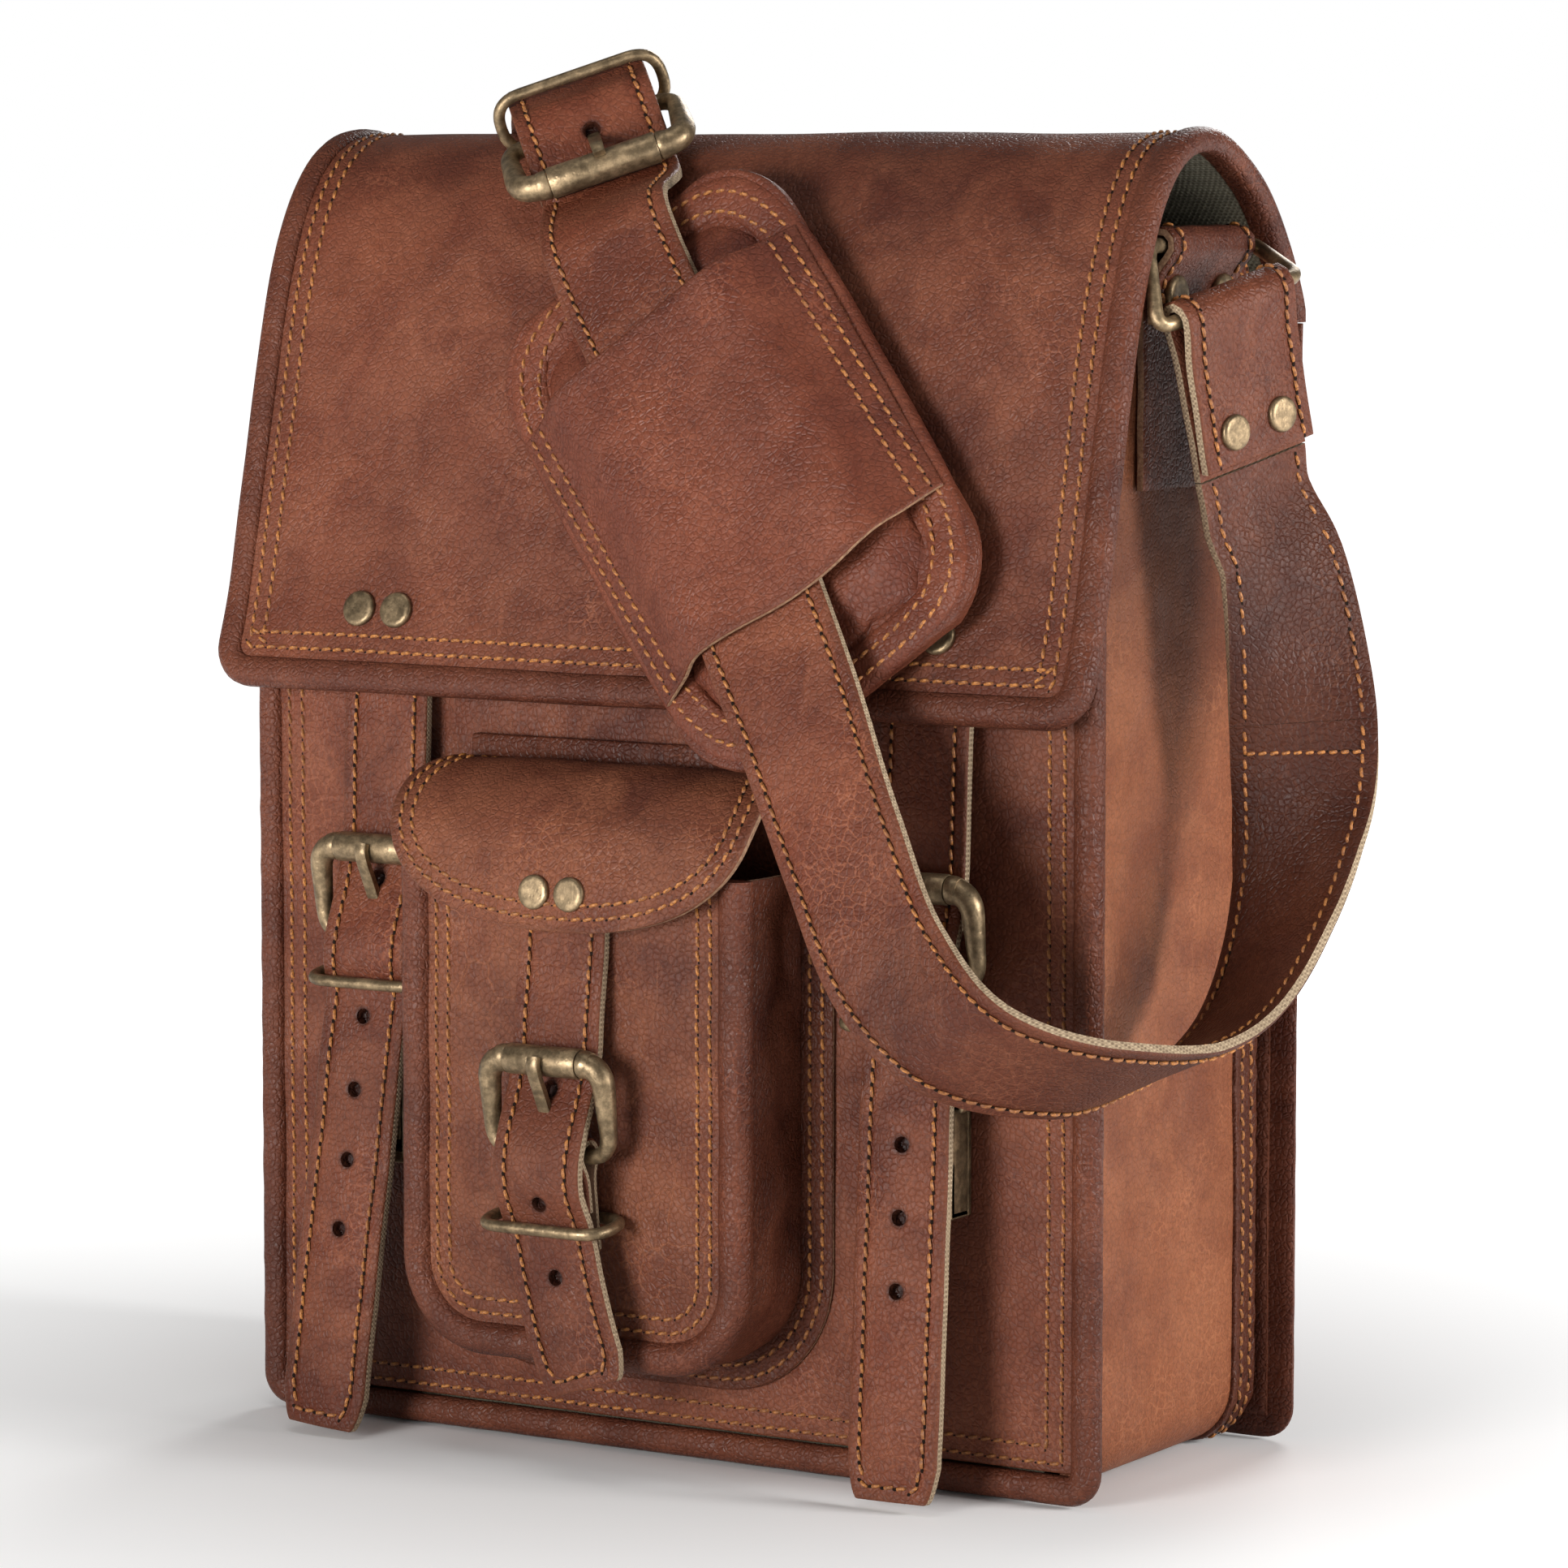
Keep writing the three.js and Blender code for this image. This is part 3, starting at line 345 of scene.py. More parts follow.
    def stitch(self, surface, outline, closed=False, pitch=STITCH_PITCH, height=0.1, thread="thread", slant=0.16):
        """A row of thread stitches, each from its hole to the next, along an outline of (a, b)."""
        outline = np.asarray(outline, float)
        if closed:
            outline = np.vstack([outline, outline[:1]])
        dense = []
        for (a0, b0), (a1, b1) in zip(outline[:-1], outline[1:]):
            n = max(2, int(math.hypot(a1 - a0, b1 - b0) / 0.8))
            t = np.linspace(0, 1, n, endpoint=False)[:, None]
            dense.append(np.array([a0, b0]) + t * np.array([a1 - a0, b1 - b0]))
        ab = np.vstack(dense + [outline[-1:]])
        point, normal = surface.place(ab[:, 0], ab[:, 1])
        arc = np.concatenate([[0], np.cumsum(np.linalg.norm(np.diff(point, axis=0), axis=1))])
        number = max(1, int(arc[-1] / pitch))
        centres = (np.arange(number) + 0.5) * arc[-1] / number

        def at(values, s):
            return np.stack([np.interp(s, arc, values[:, i]) for i in range(3)], -1)

        middle = at(point, centres)
        n = unit(at(normal, centres))
        t = unit(at(point, centres + 0.4 * pitch) - at(point, centres - 0.4 * pitch))
        s = np.cross(n, t)
        shake = np.sin(centres * 12.9898) * 0.5
        t = unit(t + s * (slant + 0.06 * shake)[:, None])
        s = np.cross(n, t)
        long = pitch * (0.80 + 0.05 * shake)
        rings = ((-0.5, 0.10, -0.30), (-0.36, 0.40, 0.02), (0.0, 0.46, 0.16), (0.36, 0.40, 0.02), (0.5, 0.10, -0.30))
        angle = np.linspace(0, 2 * math.pi, 6, endpoint=False)
        verts = []
        for share, radius, rise in rings:
            centre = middle + t * (share * long)[:, None] + n * (rise + height)
            ring = centre[:, None] + radius * (np.cos(angle)[None, :, None] * s[:, None] + np.sin(angle)[None, :, None] * n[:, None])
            verts.append(ring)
        verts = np.stack(verts, 1)
        count, m = verts.shape[0], len(rings) * 6
        one = []
        for r in range(len(rings) - 1):
            for k in range(6):
                one.append([r * 6 + k, r * 6 + (k + 1) % 6, r * 6 + 6 + (k + 1) % 6, r * 6 + 6 + k])
        ends = [[5, 4, 3, 2, 1, 0], [m - 6 + k for k in range(6)]]
        faces = [[v + i * m for v in f] for i in range(count) for f in one + ends]
        self.add(verts.reshape(-1, 3), faces, thread)
        # The needle holes, as small dark lens-shaped pits between the stitches.
        hole_at = np.concatenate([middle - t * (0.5 * pitch), middle[-1:] + t[-1:] * (0.5 * pitch)])
        hn, ht, hs = (np.concatenate([v, v[-1:]]) for v in (n, t, s))
        angle = np.linspace(0, 2 * math.pi, 8, endpoint=False)
        base = hole_at[:, None] + 0.62 * np.cos(angle)[None, :, None] * ht[:, None] + 0.42 * np.sin(angle)[None, :, None] * hs[:, None]
        rim = base - hn[:, None] * 0.25
        lid = hole_at + hn * 0.07
        verts = np.concatenate([rim + hn[:, None] * 0.2, lid[:, None], (hole_at - hn * 0.5)[:, None]], 1)
        faces = []
        for i in range(len(hole_at)):
            o = i * 10
            for k in range(8):
                faces.append([o + k, o + (k + 1) % 8, o + 8])
                faces.append([o + (k + 1) % 8, o + k, o + 9])
        return self.add(verts.reshape(-1, 3), faces, "hole")

    def finish(self, name, body, nodes, slot, smooth_angle=50):
        """Makes the Blender object, which rides on a body and stands for CAD nodes."""
        mesh = bpy.data.meshes.new(name)
        mesh.from_pydata((np.vstack(self.verts) * MM).tolist(), [], self.faces)
        used = sorted(set(self.looks))
        for look in used:
            mesh.materials.append(LOOKS[look])
        number = {look: i for i, look in enumerate(used)}
        mesh.polygons.foreach_set("material_index", [number[look] for look in self.looks])
        for key in ("dark", "wear"):
            layer = mesh.attributes.new(key, "FLOAT", "POINT")
            layer.data.foreach_set("value", np.concatenate(getattr(self, key)).astype(np.float32))
        mesh.validate()
        outward(mesh)
        mesh.shade_smooth()
        mesh.set_sharp_from_angle(angle=math.radians(smooth_angle))
        obj = bpy.data.objects.new(name, mesh)
        bpy.context.scene.collection.objects.link(obj)
        if nodes:
            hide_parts(*nodes)
        if isinstance(body, str):
            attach(obj, body)
        elif body:
            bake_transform(obj)
        return obj


def outward(mesh):
    """Turns every face to point out of its closed shell."""
    work = bmesh.new()
    work.from_mesh(mesh)
    bmesh.ops.recalc_face_normals(work, faces=work.faces)
    work.to_mesh(mesh)
    work.free()
    mesh.update()


# ---- Looks ----
class Nodes:
    """A short way to write a material's nodes."""

    def __init__(self, name):
        self.material = bpy.data.materials.new(name)
        self.material.use_nodes = True
        self.tree = self.material.node_tree
        self.shader = self.tree.nodes["Principled BSDF"]
        self.coords = self.tree.nodes.new("ShaderNodeTexCoord").outputs["Object"]

    def node(self, kind, inputs=None, **settings):
        n = self.tree.nodes.new("ShaderNode" + kind)
        for key, value in settings.items():
            setattr(n, key, value)
        for key, value in (inputs or {}).items():
            self.put(n.inputs[key], value)
        return n

    def put(self, socket, value):
        if isinstance(value, bpy.types.NodeSocket):
            self.tree.links.new(value, socket)
        else:
            socket.default_value = value

    def noise(self, scale, detail=4.0, rough=0.55, coords=None, distortion=0.0):
        inputs = {"Scale": scale, "Detail": detail, "Roughness": rough, "Distortion": distortion,
                  "Vector": coords or self.coords}
        return self.node("TexNoise", inputs).outputs["Fac"]

    def cells(self, scale, feature="F1", coords=None, randomness=1.0):
        inputs = {"Scale": scale, "Vector": coords or self.coords, "Randomness": randomness}
        return self.node("TexVoronoi", inputs, feature=feature).outputs["Distance"]

    def ramp(self, value, low, high, to_low=0.0, to_high=1.0):
        inputs = {"Value": value, "From Min": low, "From Max": high, "To Min": to_low, "To Max": to_high}
        return self.node("MapRange", inputs).outputs["Result"]

    def math(self, operation, a, b=0.0):
        n = self.node("Math", operation=operation)
        self.put(n.inputs[0], a)
        self.put(n.inputs[1], b)
        return n.outputs[0]

    def mix(self, factor, a, b, blend="MIX"):
        n = self.node("Mix", data_type="RGBA", blend_type=blend)
        self.put(n.inputs[0], factor)
        for socket, value in ((n.inputs[6], a), (n.inputs[7], b)):
            self.put(socket, value if isinstance(value, bpy.types.NodeSocket) else (*value, 1.0))
        return n.outputs[2]

    def amount(self, name):
        return self.node("Attribute", attribute_name=name).outputs["Fac"]

    def stretched(self, scale):
        return self.node("Mapping", {"Vector": self.coords, "Scale": scale}).outputs["Vector"]

    def bumps(self, *layers):
        """layers are (height, distance in metres); each adds to the one before."""
        normal = None
        for height, distance in layers:
            inputs = {"Height": height, "Distance": distance, "Strength": 1.0}
            if normal is not None:
                inputs["Normal"] = normal
            normal = self.node("Bump", inputs).outputs["Normal"]
        self.put(self.shader.inputs["Normal"], normal)

    def set(self, **values):
        for key, value in values.items():
            self.put(self.shader.inputs[key.replace("_", " ")], value)
        return self.material


def leather(name, base, deep, pale, rough=0.5, grain=1.0, crease=1.0):
    """Waxed leather: cloudy colour, pores and fine grain, pale creases where it bends, burnished rubbed edges; the
    `dark` amount also carries painted shade.
    """
    m = Nodes(name)
    cloud = m.ramp(m.noise(14.0, 7.0, 0.66), 0.36, 0.64)
    colour = m.mix(cloud, deep, base)
    mottle = m.ramp(m.noise(46.0, 6.0, 0.62, distortion=0.6), 0.40, 0.78)
    colour = m.mix(m.math("MULTIPLY", mottle, 0.62), colour, pale)
    stain = m.ramp(m.noise(24.0, 3.0, 0.5, coords=m.stretched((1.0, 1.3, 0.7))), 0.56, 0.74)
    colour = m.mix(m.math("MULTIPLY", stain, 0.42), colour, deep)
    scuffs = m.ramp(m.noise(95.0, 7.0, 0.75, coords=m.stretched((1.0, 1.0, 0.22)), distortion=0.8), 0.585, 0.70)
    colour = m.mix(m.math("MULTIPLY", scuffs, 0.34), colour, pale)
    scratch = m.ramp(m.noise(420.0, 2.0, 0.5, coords=m.stretched((1.0, 0.6, 0.06)), distortion=1.2), 0.70, 0.76)
    colour = m.mix(m.math("MULTIPLY", scratch, 0.30), colour, pale)
    pore_cells = m.cells(1250.0)
    grain_cells = m.cells(640.0, "DISTANCE_TO_EDGE")
    grain_lines = m.ramp(grain_cells, 0.0, 0.10, 0.80, 1.0)
    colour = m.mix(1.0, colour, m.node("CombineColor", {"Red": grain_lines, "Green": grain_lines, "Blue": grain_lines}).outputs[0],
                   "MULTIPLY")
    wave = m.node("Mix", data_type="VECTOR")
    m.put(wave.inputs[0], 0.012)
    m.put(wave.inputs[4], m.coords)
    noise_colour = m.node("TexNoise", {"Scale": 60.0, "Detail": 4.0, "Vector": m.coords}).outputs["Color"]
    m.put(wave.inputs[5], noise_colour)
    cracks = m.ramp(m.cells(310.0, "DISTANCE_TO_EDGE", coords=wave.outputs[1]), 0.0, 0.07, 1.0, 0.0)
    cracked = m.ramp(m.noise(27.0, 3.0, 0.6), 0.50, 0.66)
    colour = m.mix(m.math("MULTIPLY", m.math("MULTIPLY", cracks, cracked), 0.75), colour, pale)
    crease_lines = m.cells(105.0, "DISTANCE_TO_EDGE", coords=wave.outputs[1])
    where = m.ramp(m.noise(15.0, 2.0), 0.50, 0.66)
    thin = m.ramp(crease_lines, 0.0, 0.035, 1.0, 0.0)
    creases = m.math("MULTIPLY", m.math("MULTIPLY", thin, where), 0.55 * crease)
    colour = m.mix(creases, colour, pale)
    speck = m.ramp(m.noise(700.0, 3.0, 0.7), 0.36, 0.52, 0.82, 1.0)
    colour = m.mix(1.0, colour, m.node("CombineColor", {"Red": speck, "Green": speck, "Blue": speck}).outputs[0], "MULTIPLY")
    colour = m.mix(m.math("MULTIPLY", m.amount("wear"), 0.30), colour, pale)
    # The `dark` amount darkens burnished edges and darker pieces and stretches of strap, and carries painted shade
    # inside punched holes and on the gusset's upper part.
    colour = m.mix(m.math("MULTIPLY", m.amount("dark"), 0.92), colour, tuple(0.16 * c for c in deep))
    m.bumps(
        (m.math("MULTIPLY", m.noise(34.0, 4.0), 1.0), 0.0011),
        (m.math("MULTIPLY", creases, -1.0), 0.00022),
        (m.ramp(grain_cells, 0.0, 0.22), 0.00013 * grain),
        (m.ramp(pore_cells, 0.0, 0.5), 0.00006 * grain),
        (m.noise(1900.0, 3.0, 0.7), 0.00005 * grain),
    )
    gloss = m.ramp(m.noise(70.0, 5.0, 0.65), 0.30, 0.72, rough - 0.10, rough + 0.13)
    return m.set(Base_Color=colour, Roughness=gloss, Specular_IOR_Level=0.2)


def raw_edge(name, colour, deep):
    """Cut leather edge: fibrous and pale."""
    m = Nodes(name)
    fibres = m.noise(900.0, 5.0, 0.7)
    tone = m.mix(m.ramp(fibres, 0.35, 0.65), deep, colour)
    tone = m.mix(m.ramp(m.noise(60.0, 3.0), 0.45, 0.65, 0.0, 0.5), tone, deep)
    m.bumps((fibres, 0.0002))
    return m.set(Base_Color=tone, Roughness=0.85)


def woven(name, colour, deep, scale):
    """Plain-weave cloth: threads both ways."""
    m = Nodes(name)
    parts = m.node("SeparateXYZ", {"Vector": m.coords})
    waves = [m.math("SINE", m.math("MULTIPLY", parts.outputs[i], scale)) for i in range(3)]
    cross = m.math("MULTIPLY", m.math("ADD", waves[0], waves[1]), waves[2])
    height = m.ramp(cross, -1.2, 1.2)
    tone = m.mix(height, deep, colour)
    tone = m.mix(m.ramp(m.noise(30.0, 4.0), 0.4, 0.7, 0.0, 0.5), tone, deep)
    m.bumps((height, 0.00025))
    return m.set(Base_Color=tone, Roughness=0.95)


def thread_look(name, colour, deep):
    m = Nodes(name)
    twist = m.noise(1500.0, 2.0)
    tone = m.mix(m.ramp(twist, 0.35, 0.65), deep, colour)
    tone = m.mix(m.ramp(m.noise(25.0, 3.0), 0.45, 0.7, 0.0, 0.75), tone, deep)
    m.bumps((twist, 0.0001))
    return m.set(Base_Color=tone, Roughness=0.6)


def antique_brass(name, bright, dull, rough):
    """Brass with brown patina, rubbed bright in patches, with fine scratches and pits."""
    m = Nodes(name)
    patina = m.ramp(m.noise(130.0, 6.0, 0.7), 0.36, 0.66)
    tone = m.mix(patina, dull, bright)
    pits = m.ramp(m.cells(900.0), 0.05, 0.35)
    tone = m.mix(m.ramp(m.noise(520.0, 4.0, 0.7), 0.40, 0.60, 0.35, 0.0), tone, tuple(0.45 * c for c in dull))
    scratches = m.noise(900.0, 2.0, coords=m.stretched((1.0, 1.0, 0.08)))
    m.bumps((m.noise(160.0, 4.0), 0.00016), (pits, 0.00003), (scratches, 0.00003))
    gloss = m.ramp(m.noise(210.0, 5.0, 0.7), 0.32, 0.70, rough - 0.08, rough + 0.16)
    return m.set(Base_Color=tone, Metallic=0.8, Roughness=gloss)


def dark_hole(name):
    m = Nodes(name)
    tone = m.mix(m.noise(400.0, 2.0), (0.006, 0.004, 0.003), (0.016, 0.009, 0.006))
    return m.set(Base_Color=tone, Roughness=0.95, Specular_IOR_Level=0.1)


LOOKS = {
    "leather": leather("leather", (0.143, 0.0385, 0.0185), (0.072, 0.0185, 0.010), (0.245, 0.083, 0.042), 0.50, 1.0, 0.4),
    "pocket": leather("pocket_leather", (0.142, 0.041, 0.0195), (0.074, 0.020, 0.011), (0.26, 0.092, 0.044), 0.50, 1.1, 1.0),
    "strap": leather("strap_leather", (0.146, 0.037, 0.017), (0.074, 0.018, 0.009), (0.27, 0.090, 0.044), 0.48, 1.0, 0.7),
    "binding": leather("binding_leather", (0.098, 0.026, 0.013), (0.046, 0.012, 0.007), (0.18, 0.056, 0.028), 0.44, 1.2, 0.9),
    "pad": leather("pad_leather", (0.138, 0.035, 0.017), (0.064, 0.015, 0.009), (0.22, 0.066, 0.033), 0.46, 1.0, 0.5),
    "tan": leather("gusset_leather", (0.236, 0.074, 0.030), (0.138, 0.038, 0.016), (0.34, 0.125, 0.055), 0.58, 0.9, 0.7),
    "raw": raw_edge("raw_edge", (0.34, 0.20, 0.11), (0.13, 0.060, 0.032)),
    "suede": raw_edge("suede_back", (0.19, 0.095, 0.048), (0.10, 0.046, 0.024)),
    "canvas": woven("canvas", (0.20, 0.18, 0.125), (0.105, 0.092, 0.062), 4200.0),
    "weave": woven("woven_edge", (0.44, 0.33, 0.21), (0.17, 0.115, 0.068), 5200.0),
    "thread": thread_look("thread", (0.46, 0.175, 0.036), (0.16, 0.055, 0.016)),
    "brass": antique_brass("antique_brass", (0.39, 0.280, 0.160), (0.140, 0.098, 0.054), 0.40),
    "hole": dark_hole("stitch_hole"),
}


# ---- Body panels ----
FRONT = profile(
    [(0, -30, 298), (0, -36.5, 280), (0, -44.5, 245), (0, FRONT_Y, 222), (0, FRONT_Y, 180), (0, FRONT_Y, 90), (0, FRONT_Y, 8)],
    (1, 0, 0),
    relief=lambda a, b, p: 0.5 * wobble(p, 120, 1) + 0.25 * wobble(p, 47, 2),
    smooth=False,
)
CORNER = 8.5
EDGE_ROLL = [
    (7.4, -0.6), (7.2, 0.5), (6.3, 1.5), (4.9, 2.1), (3.3, 2.3), (1.7, 1.8), (0.6, 0.7),
    (0.0, -0.8), (0.1, -2.1), (1.0, -2.9), (3.0, -3.0), (7.0, -3.0),
]


def front_panel():
    half = -PANEL_LOW[0]
    rows = (2.3, 6.4)
    shape = Shape()
    across = lines(-half - 1.5, half + 1.5, 3.0, rows=(3.8, 7.9))
    along = lines(0, FRONT.length, 3.0, rows=rows)
    shape.sheet(FRONT, across, along, LEATHER - 0.2, ("leather", "suede", "raw"), crown=0.4)
    for inset in rows:
        a, low = half - inset, FRONT.length - inset
        shape.stitch(FRONT, [(-a, 24), (-a, low), (a, low), (a, 24)])
    return shape.finish("front_panel_leather", "body", ["front_panel"], "leather")


def front_binding():
    shape = Shape()
    low = FRONT.length + 8.0
    flat = Surface(FRONT.line, FRONT.side)
    extended = Surface(np.vstack([flat.line, [(0, FRONT_Y, z) for z in (6, 4, 2, 0)]]), (1, 0, 0))
    wrinkle = 0.25
    extended.relief = lambda a, b, p: wrinkle * wobble(p, 17, 4) + 0.12 * wobble(p, 7, 5)
    shape.trim(extended, np.array(dense_curve(rounded(HALF_W, 2, low, CORNER), 2.0)), EDGE_ROLL, "binding")
    return shape.finish("front_binding_roll", "body", ["front_binding"], "darkLeather")


def dense(corners, step, closed=False):
    """Points every `step` along straight lines between corners, corners kept."""
    corners = list(corners) + ([corners[0]] if closed else [])
    out = []
    for (a0, b0), (a1, b1) in zip(corners[:-1], corners[1:]):
        n = max(1, int(math.hypot(a1 - a0, b1 - b0) / step))
        out += [(a0 + (a1 - a0) * i / n, b0 + (b1 - b0) * i / n) for i in range(n)]
    if not closed:
        out.append(corners[-1])
    return out


def back_panel():
    back = profile([(0, BACK_Y, 6), (0, BACK_Y, HINGE_Z + 0.5)], (1, 0, 0), smooth=False,
                   relief=lambda a, b, p: 0.45 * wobble(p, 110, 6))
    half = BACK_HALF - 7.7
    rows = (2.3, 6.4)
    shape = Shape()
    across = lines(-half - 1, half + 1, 4.0, rows=rows)
    shape.sheet(back, across, lines(0, back.length, 4.0, rows=rows), LEATHER - 0.2, ("leather", "binding", "binding"), crown=0.4)
    for inset in rows:
        a = half - inset
        shape.stitch(back, [(-a, back.length - 3), (-a, inset + 2), (a, inset + 2), (a, back.length - 3)])
    shape.finish("back_panel_leather", "body", ["back_panel"], "leather")
    trim = Shape()
    whole = profile([(0, BACK_Y, 0), (0, BACK_Y, HINGE_Z + 0.8)], (1, 0, 0), smooth=False,
                    relief=lambda a, b, p: 0.2 * wobble(p, 17, 7))
    outline = [(-a, whole.length - b) for a, b in rounded(BACK_HALF, 0, whole.length, CORNER)]
    trim.trim(whole, dense_curve(outline, 2.0), [(i, n * 0.62) for i, n in EDGE_ROLL], "binding")
    trim.finish("back_binding_roll", "body", ["back_binding"], "darkLeather")


STANDING = 1.0


def gusset():
    half, low, high, radius = GUSSET_HIGH[0], 0.0, GUSSET_HIGH[2], 16.0
    arc = [(math.sin(t) * radius, -math.cos(t) * radius) for t in np.linspace(math.pi / 2, 0, 9)]
    right = [(half, 0, high), (half, 0, (high + low) / 2)] + [(half - radius + x, 0, low + radius + z) for x, z in arc]
    route = [(-x, y, z) for x, y, z in right] + [(0, 0, low)] + right[::-1]
    middle = (GUSSET_LOW[1] + GUSSET_HIGH[1]) / 2
    reach = (GUSSET_HIGH[1] - GUSSET_LOW[1]) / 2

    def sag(a, b, p):
        side = np.clip(p[..., 2] / 60, 0, 1)
        waist = np.cos(np.clip(a / reach, -1, 1) * math.pi / 2)
        hollow = -2.2 * np.sin(np.clip((p[..., 2] - 60) / 230, 0, 1) * math.pi) * waist
        return side * (hollow + waist * (0.7 * wobble(p, 75, 3) + 0.3 * wobble(p, 31, 8)) + 0.9 * waist)

    line = [(x, y + middle, z) for x, y, z in route]
    surface = profile(line, (0, -1, 0), samples=900, smooth=False, relief=sag)
    front_lean = [(0, 222), (4.6, 245.5), (13.5, 281), (19.7, 299), (19.7, 340)]

    def front_cut(z):
        return np.interp(z, [p[1] for p in front_lean], [p[0] for p in front_lean])

    def back_cut(z):
        return np.interp(z, [281, 297, 309, 320], [1.0, 9.6, 21.6, 24])

    along = lines(0, surface.length, 3.0)
    across = lines(-reach, reach, 2.5, rows=(3.0, 7.0))
    shape = Shape()
    tapered = Tapered(surface, reach, front_cut, back_cut)
    # Painted shade: the gusset darkens from 165 mm up to 235 mm high, standing in for the shadow that the flap edge,
    # the side ring and the strap cast on its upper part.
    def tone(b):
        return np.interp(np.interp(b, surface.arc, surface.line[:, 2]), [165, 235], [0.0, 0.55])

    shape.sheet(tapered, across, along, 2.2, ("tan", "suede", "tan"), crown=0.3, tone=tone)
    for a in (reach - 3.0, reach - 7.0):
        shape.stitch(tapered, [(a, 2), (a, surface.length - 2)])
    # The seam allowance along the back edge: a puckered, darker band.
    raised = Surface(surface.line, surface.side, relief=lambda a, b, p: sag(a, b, p) + 1.0 + 0.35 * wobble(p, 9, 4))
    band = Tapered(raised, reach, front_cut, back_cut)
    rows = (-reach + 3.4, -reach + 8.0)
    shape.sheet(band, lines(-reach, -reach + 11.5, 1.6), lines(0, surface.length, 1.8), 1.4, ("binding", "suede", "binding"),
                crown=0.35, tone=lambda b: 0.25 + 0 * b)
    for a in rows:
        shape.stitch(band, [(a, 2), (a, surface.length - 2)])
    # The underside and its thread are pressed flat where the bag stands on them.
    for verts in shape.verts:
        under = np.minimum(verts[:, 2], STANDING)
        pressed = 0.1 + (STANDING - 0.1) * np.exp((under - STANDING) / (STANDING - 0.1))
        verts[:, 2] = np.where(verts[:, 2] < STANDING, pressed, verts[:, 2])
    shape.finish("gusset_leather", "body", ["gusset"], "tanLeather")


class Tapered:
    """A surface whose near and far edges are drawn in by the two cuts, which depend on height."""

    def __init__(self, surface, half, near_cut, far_cut):
        self.surface, self.half, self.near_cut, self.far_cut = surface, half, near_cut, far_cut

    def place(self, a, b):
        a, b = np.broadcast_arrays(np.asarray(a, float), np.asarray(b, float))
        z = np.interp(b, self.surface.arc, self.surface.line[:, 2])
        far = -self.half + self.far_cut(z)
        near = self.half - self.near_cut(z)
        share = (a + self.half) / (2 * self.half)
        return self.surface.place(far + (near - far) * share, b)


# ---- Outlines on a surface ----
def inset_line(outline, distance):
    """An open outline of (a, b) moved to its left by a distance."""
    p = np.asarray(outline, float)
    t = unit(np.gradient(p, axis=0))
    return p + np.stack([-t[:, 1], t[:, 0]], -1) * distance


def rounded(half, top, low, radius, steps=9):
    """Down the left side, round two lower corners and up the right side, as (a, b)."""
    left = [(-half + radius - radius * math.cos(t), low - radius + radius * math.sin(t))
            for t in np.linspace(0, math.pi / 2, steps)]
    points = dense([(-half, top), left[0]], 3.0)[:-1] + left
    return points + [(-a, b) for a, b in points[::-1]]


def corner_share(b, half, low, radius):
    """The share of the half width that is left at b, with round lower corners."""
    beyond = np.clip((b - (low - radius)) / radius, 0, 1)
    return (half - radius + radius * math.sqrt(max(0.0, 1 - beyond**2))) / half


def towards_end(low, high, step, radius, extra=10):
    """Grid lines that crowd together inside the corner radius at the high end."""
    straight = lines(low, high - radius, step)
    bend = high - radius + radius * np.sin(np.linspace(0, math.pi / 2, extra + 1))
    return np.concatenate([straight[straight < high - radius - 0.3], bend])


# ---- Rivets ----
CAP = [(0, -1.0), (4.1, -1.0), (4.5, -0.4), (4.65, 0.25), (4.5, 0.8), (4.05, 1.12), (3.2, 1.2), (1.5, 1.12), (0, 1.1)]


def rivet(shape, at, out, size=1.0):
    shape.turned(at, out, [(r * size, h * size) for r, h in CAP], "brass")
    return shape


# ---- Flap ----
FLAP_SIDE = [
    (50, 283.2), (49.9, 286), (47, 292.5), (41.5, 301.5), (34, 311), (25, 319.5), (14, 326), (3, 329.7),
    (-8, 329), (-18, 324.5), (-26.5, 316), (-34, 303), (-42, 280), (-50, 245), (-57, 215), (-64, 194),
]
FLAP = profile(
    [(0, y, z) for y, z in FLAP_SIDE], (1, 0, 0), samples=900,
    relief=lambda a, b, p: 0.45 * wobble(p, 95, 2.2) + 0.22 * wobble(p, 41, 0.7),
)
HEM_ROLL = [
    (7.6, 0.0), (7.1, 0.8), (5.6, 1.35), (3.8, 1.55), (2.1, 1.25), (0.8, 0.4),
    (0.1, -1.0), (0.1, -2.8), (0.9, -4.2), (2.4, -4.8), (5.0, -4.8), (7.6, -4.3),
]
HEM_RADIUS = 9.0


def at_height(surface, z):
    """How far along a surface its front comes down to a height."""
    top = int(np.argmax(surface.line[:, 2]))
    return float(np.interp(-z, -surface.line[top:, 2], surface.arc[top:]))


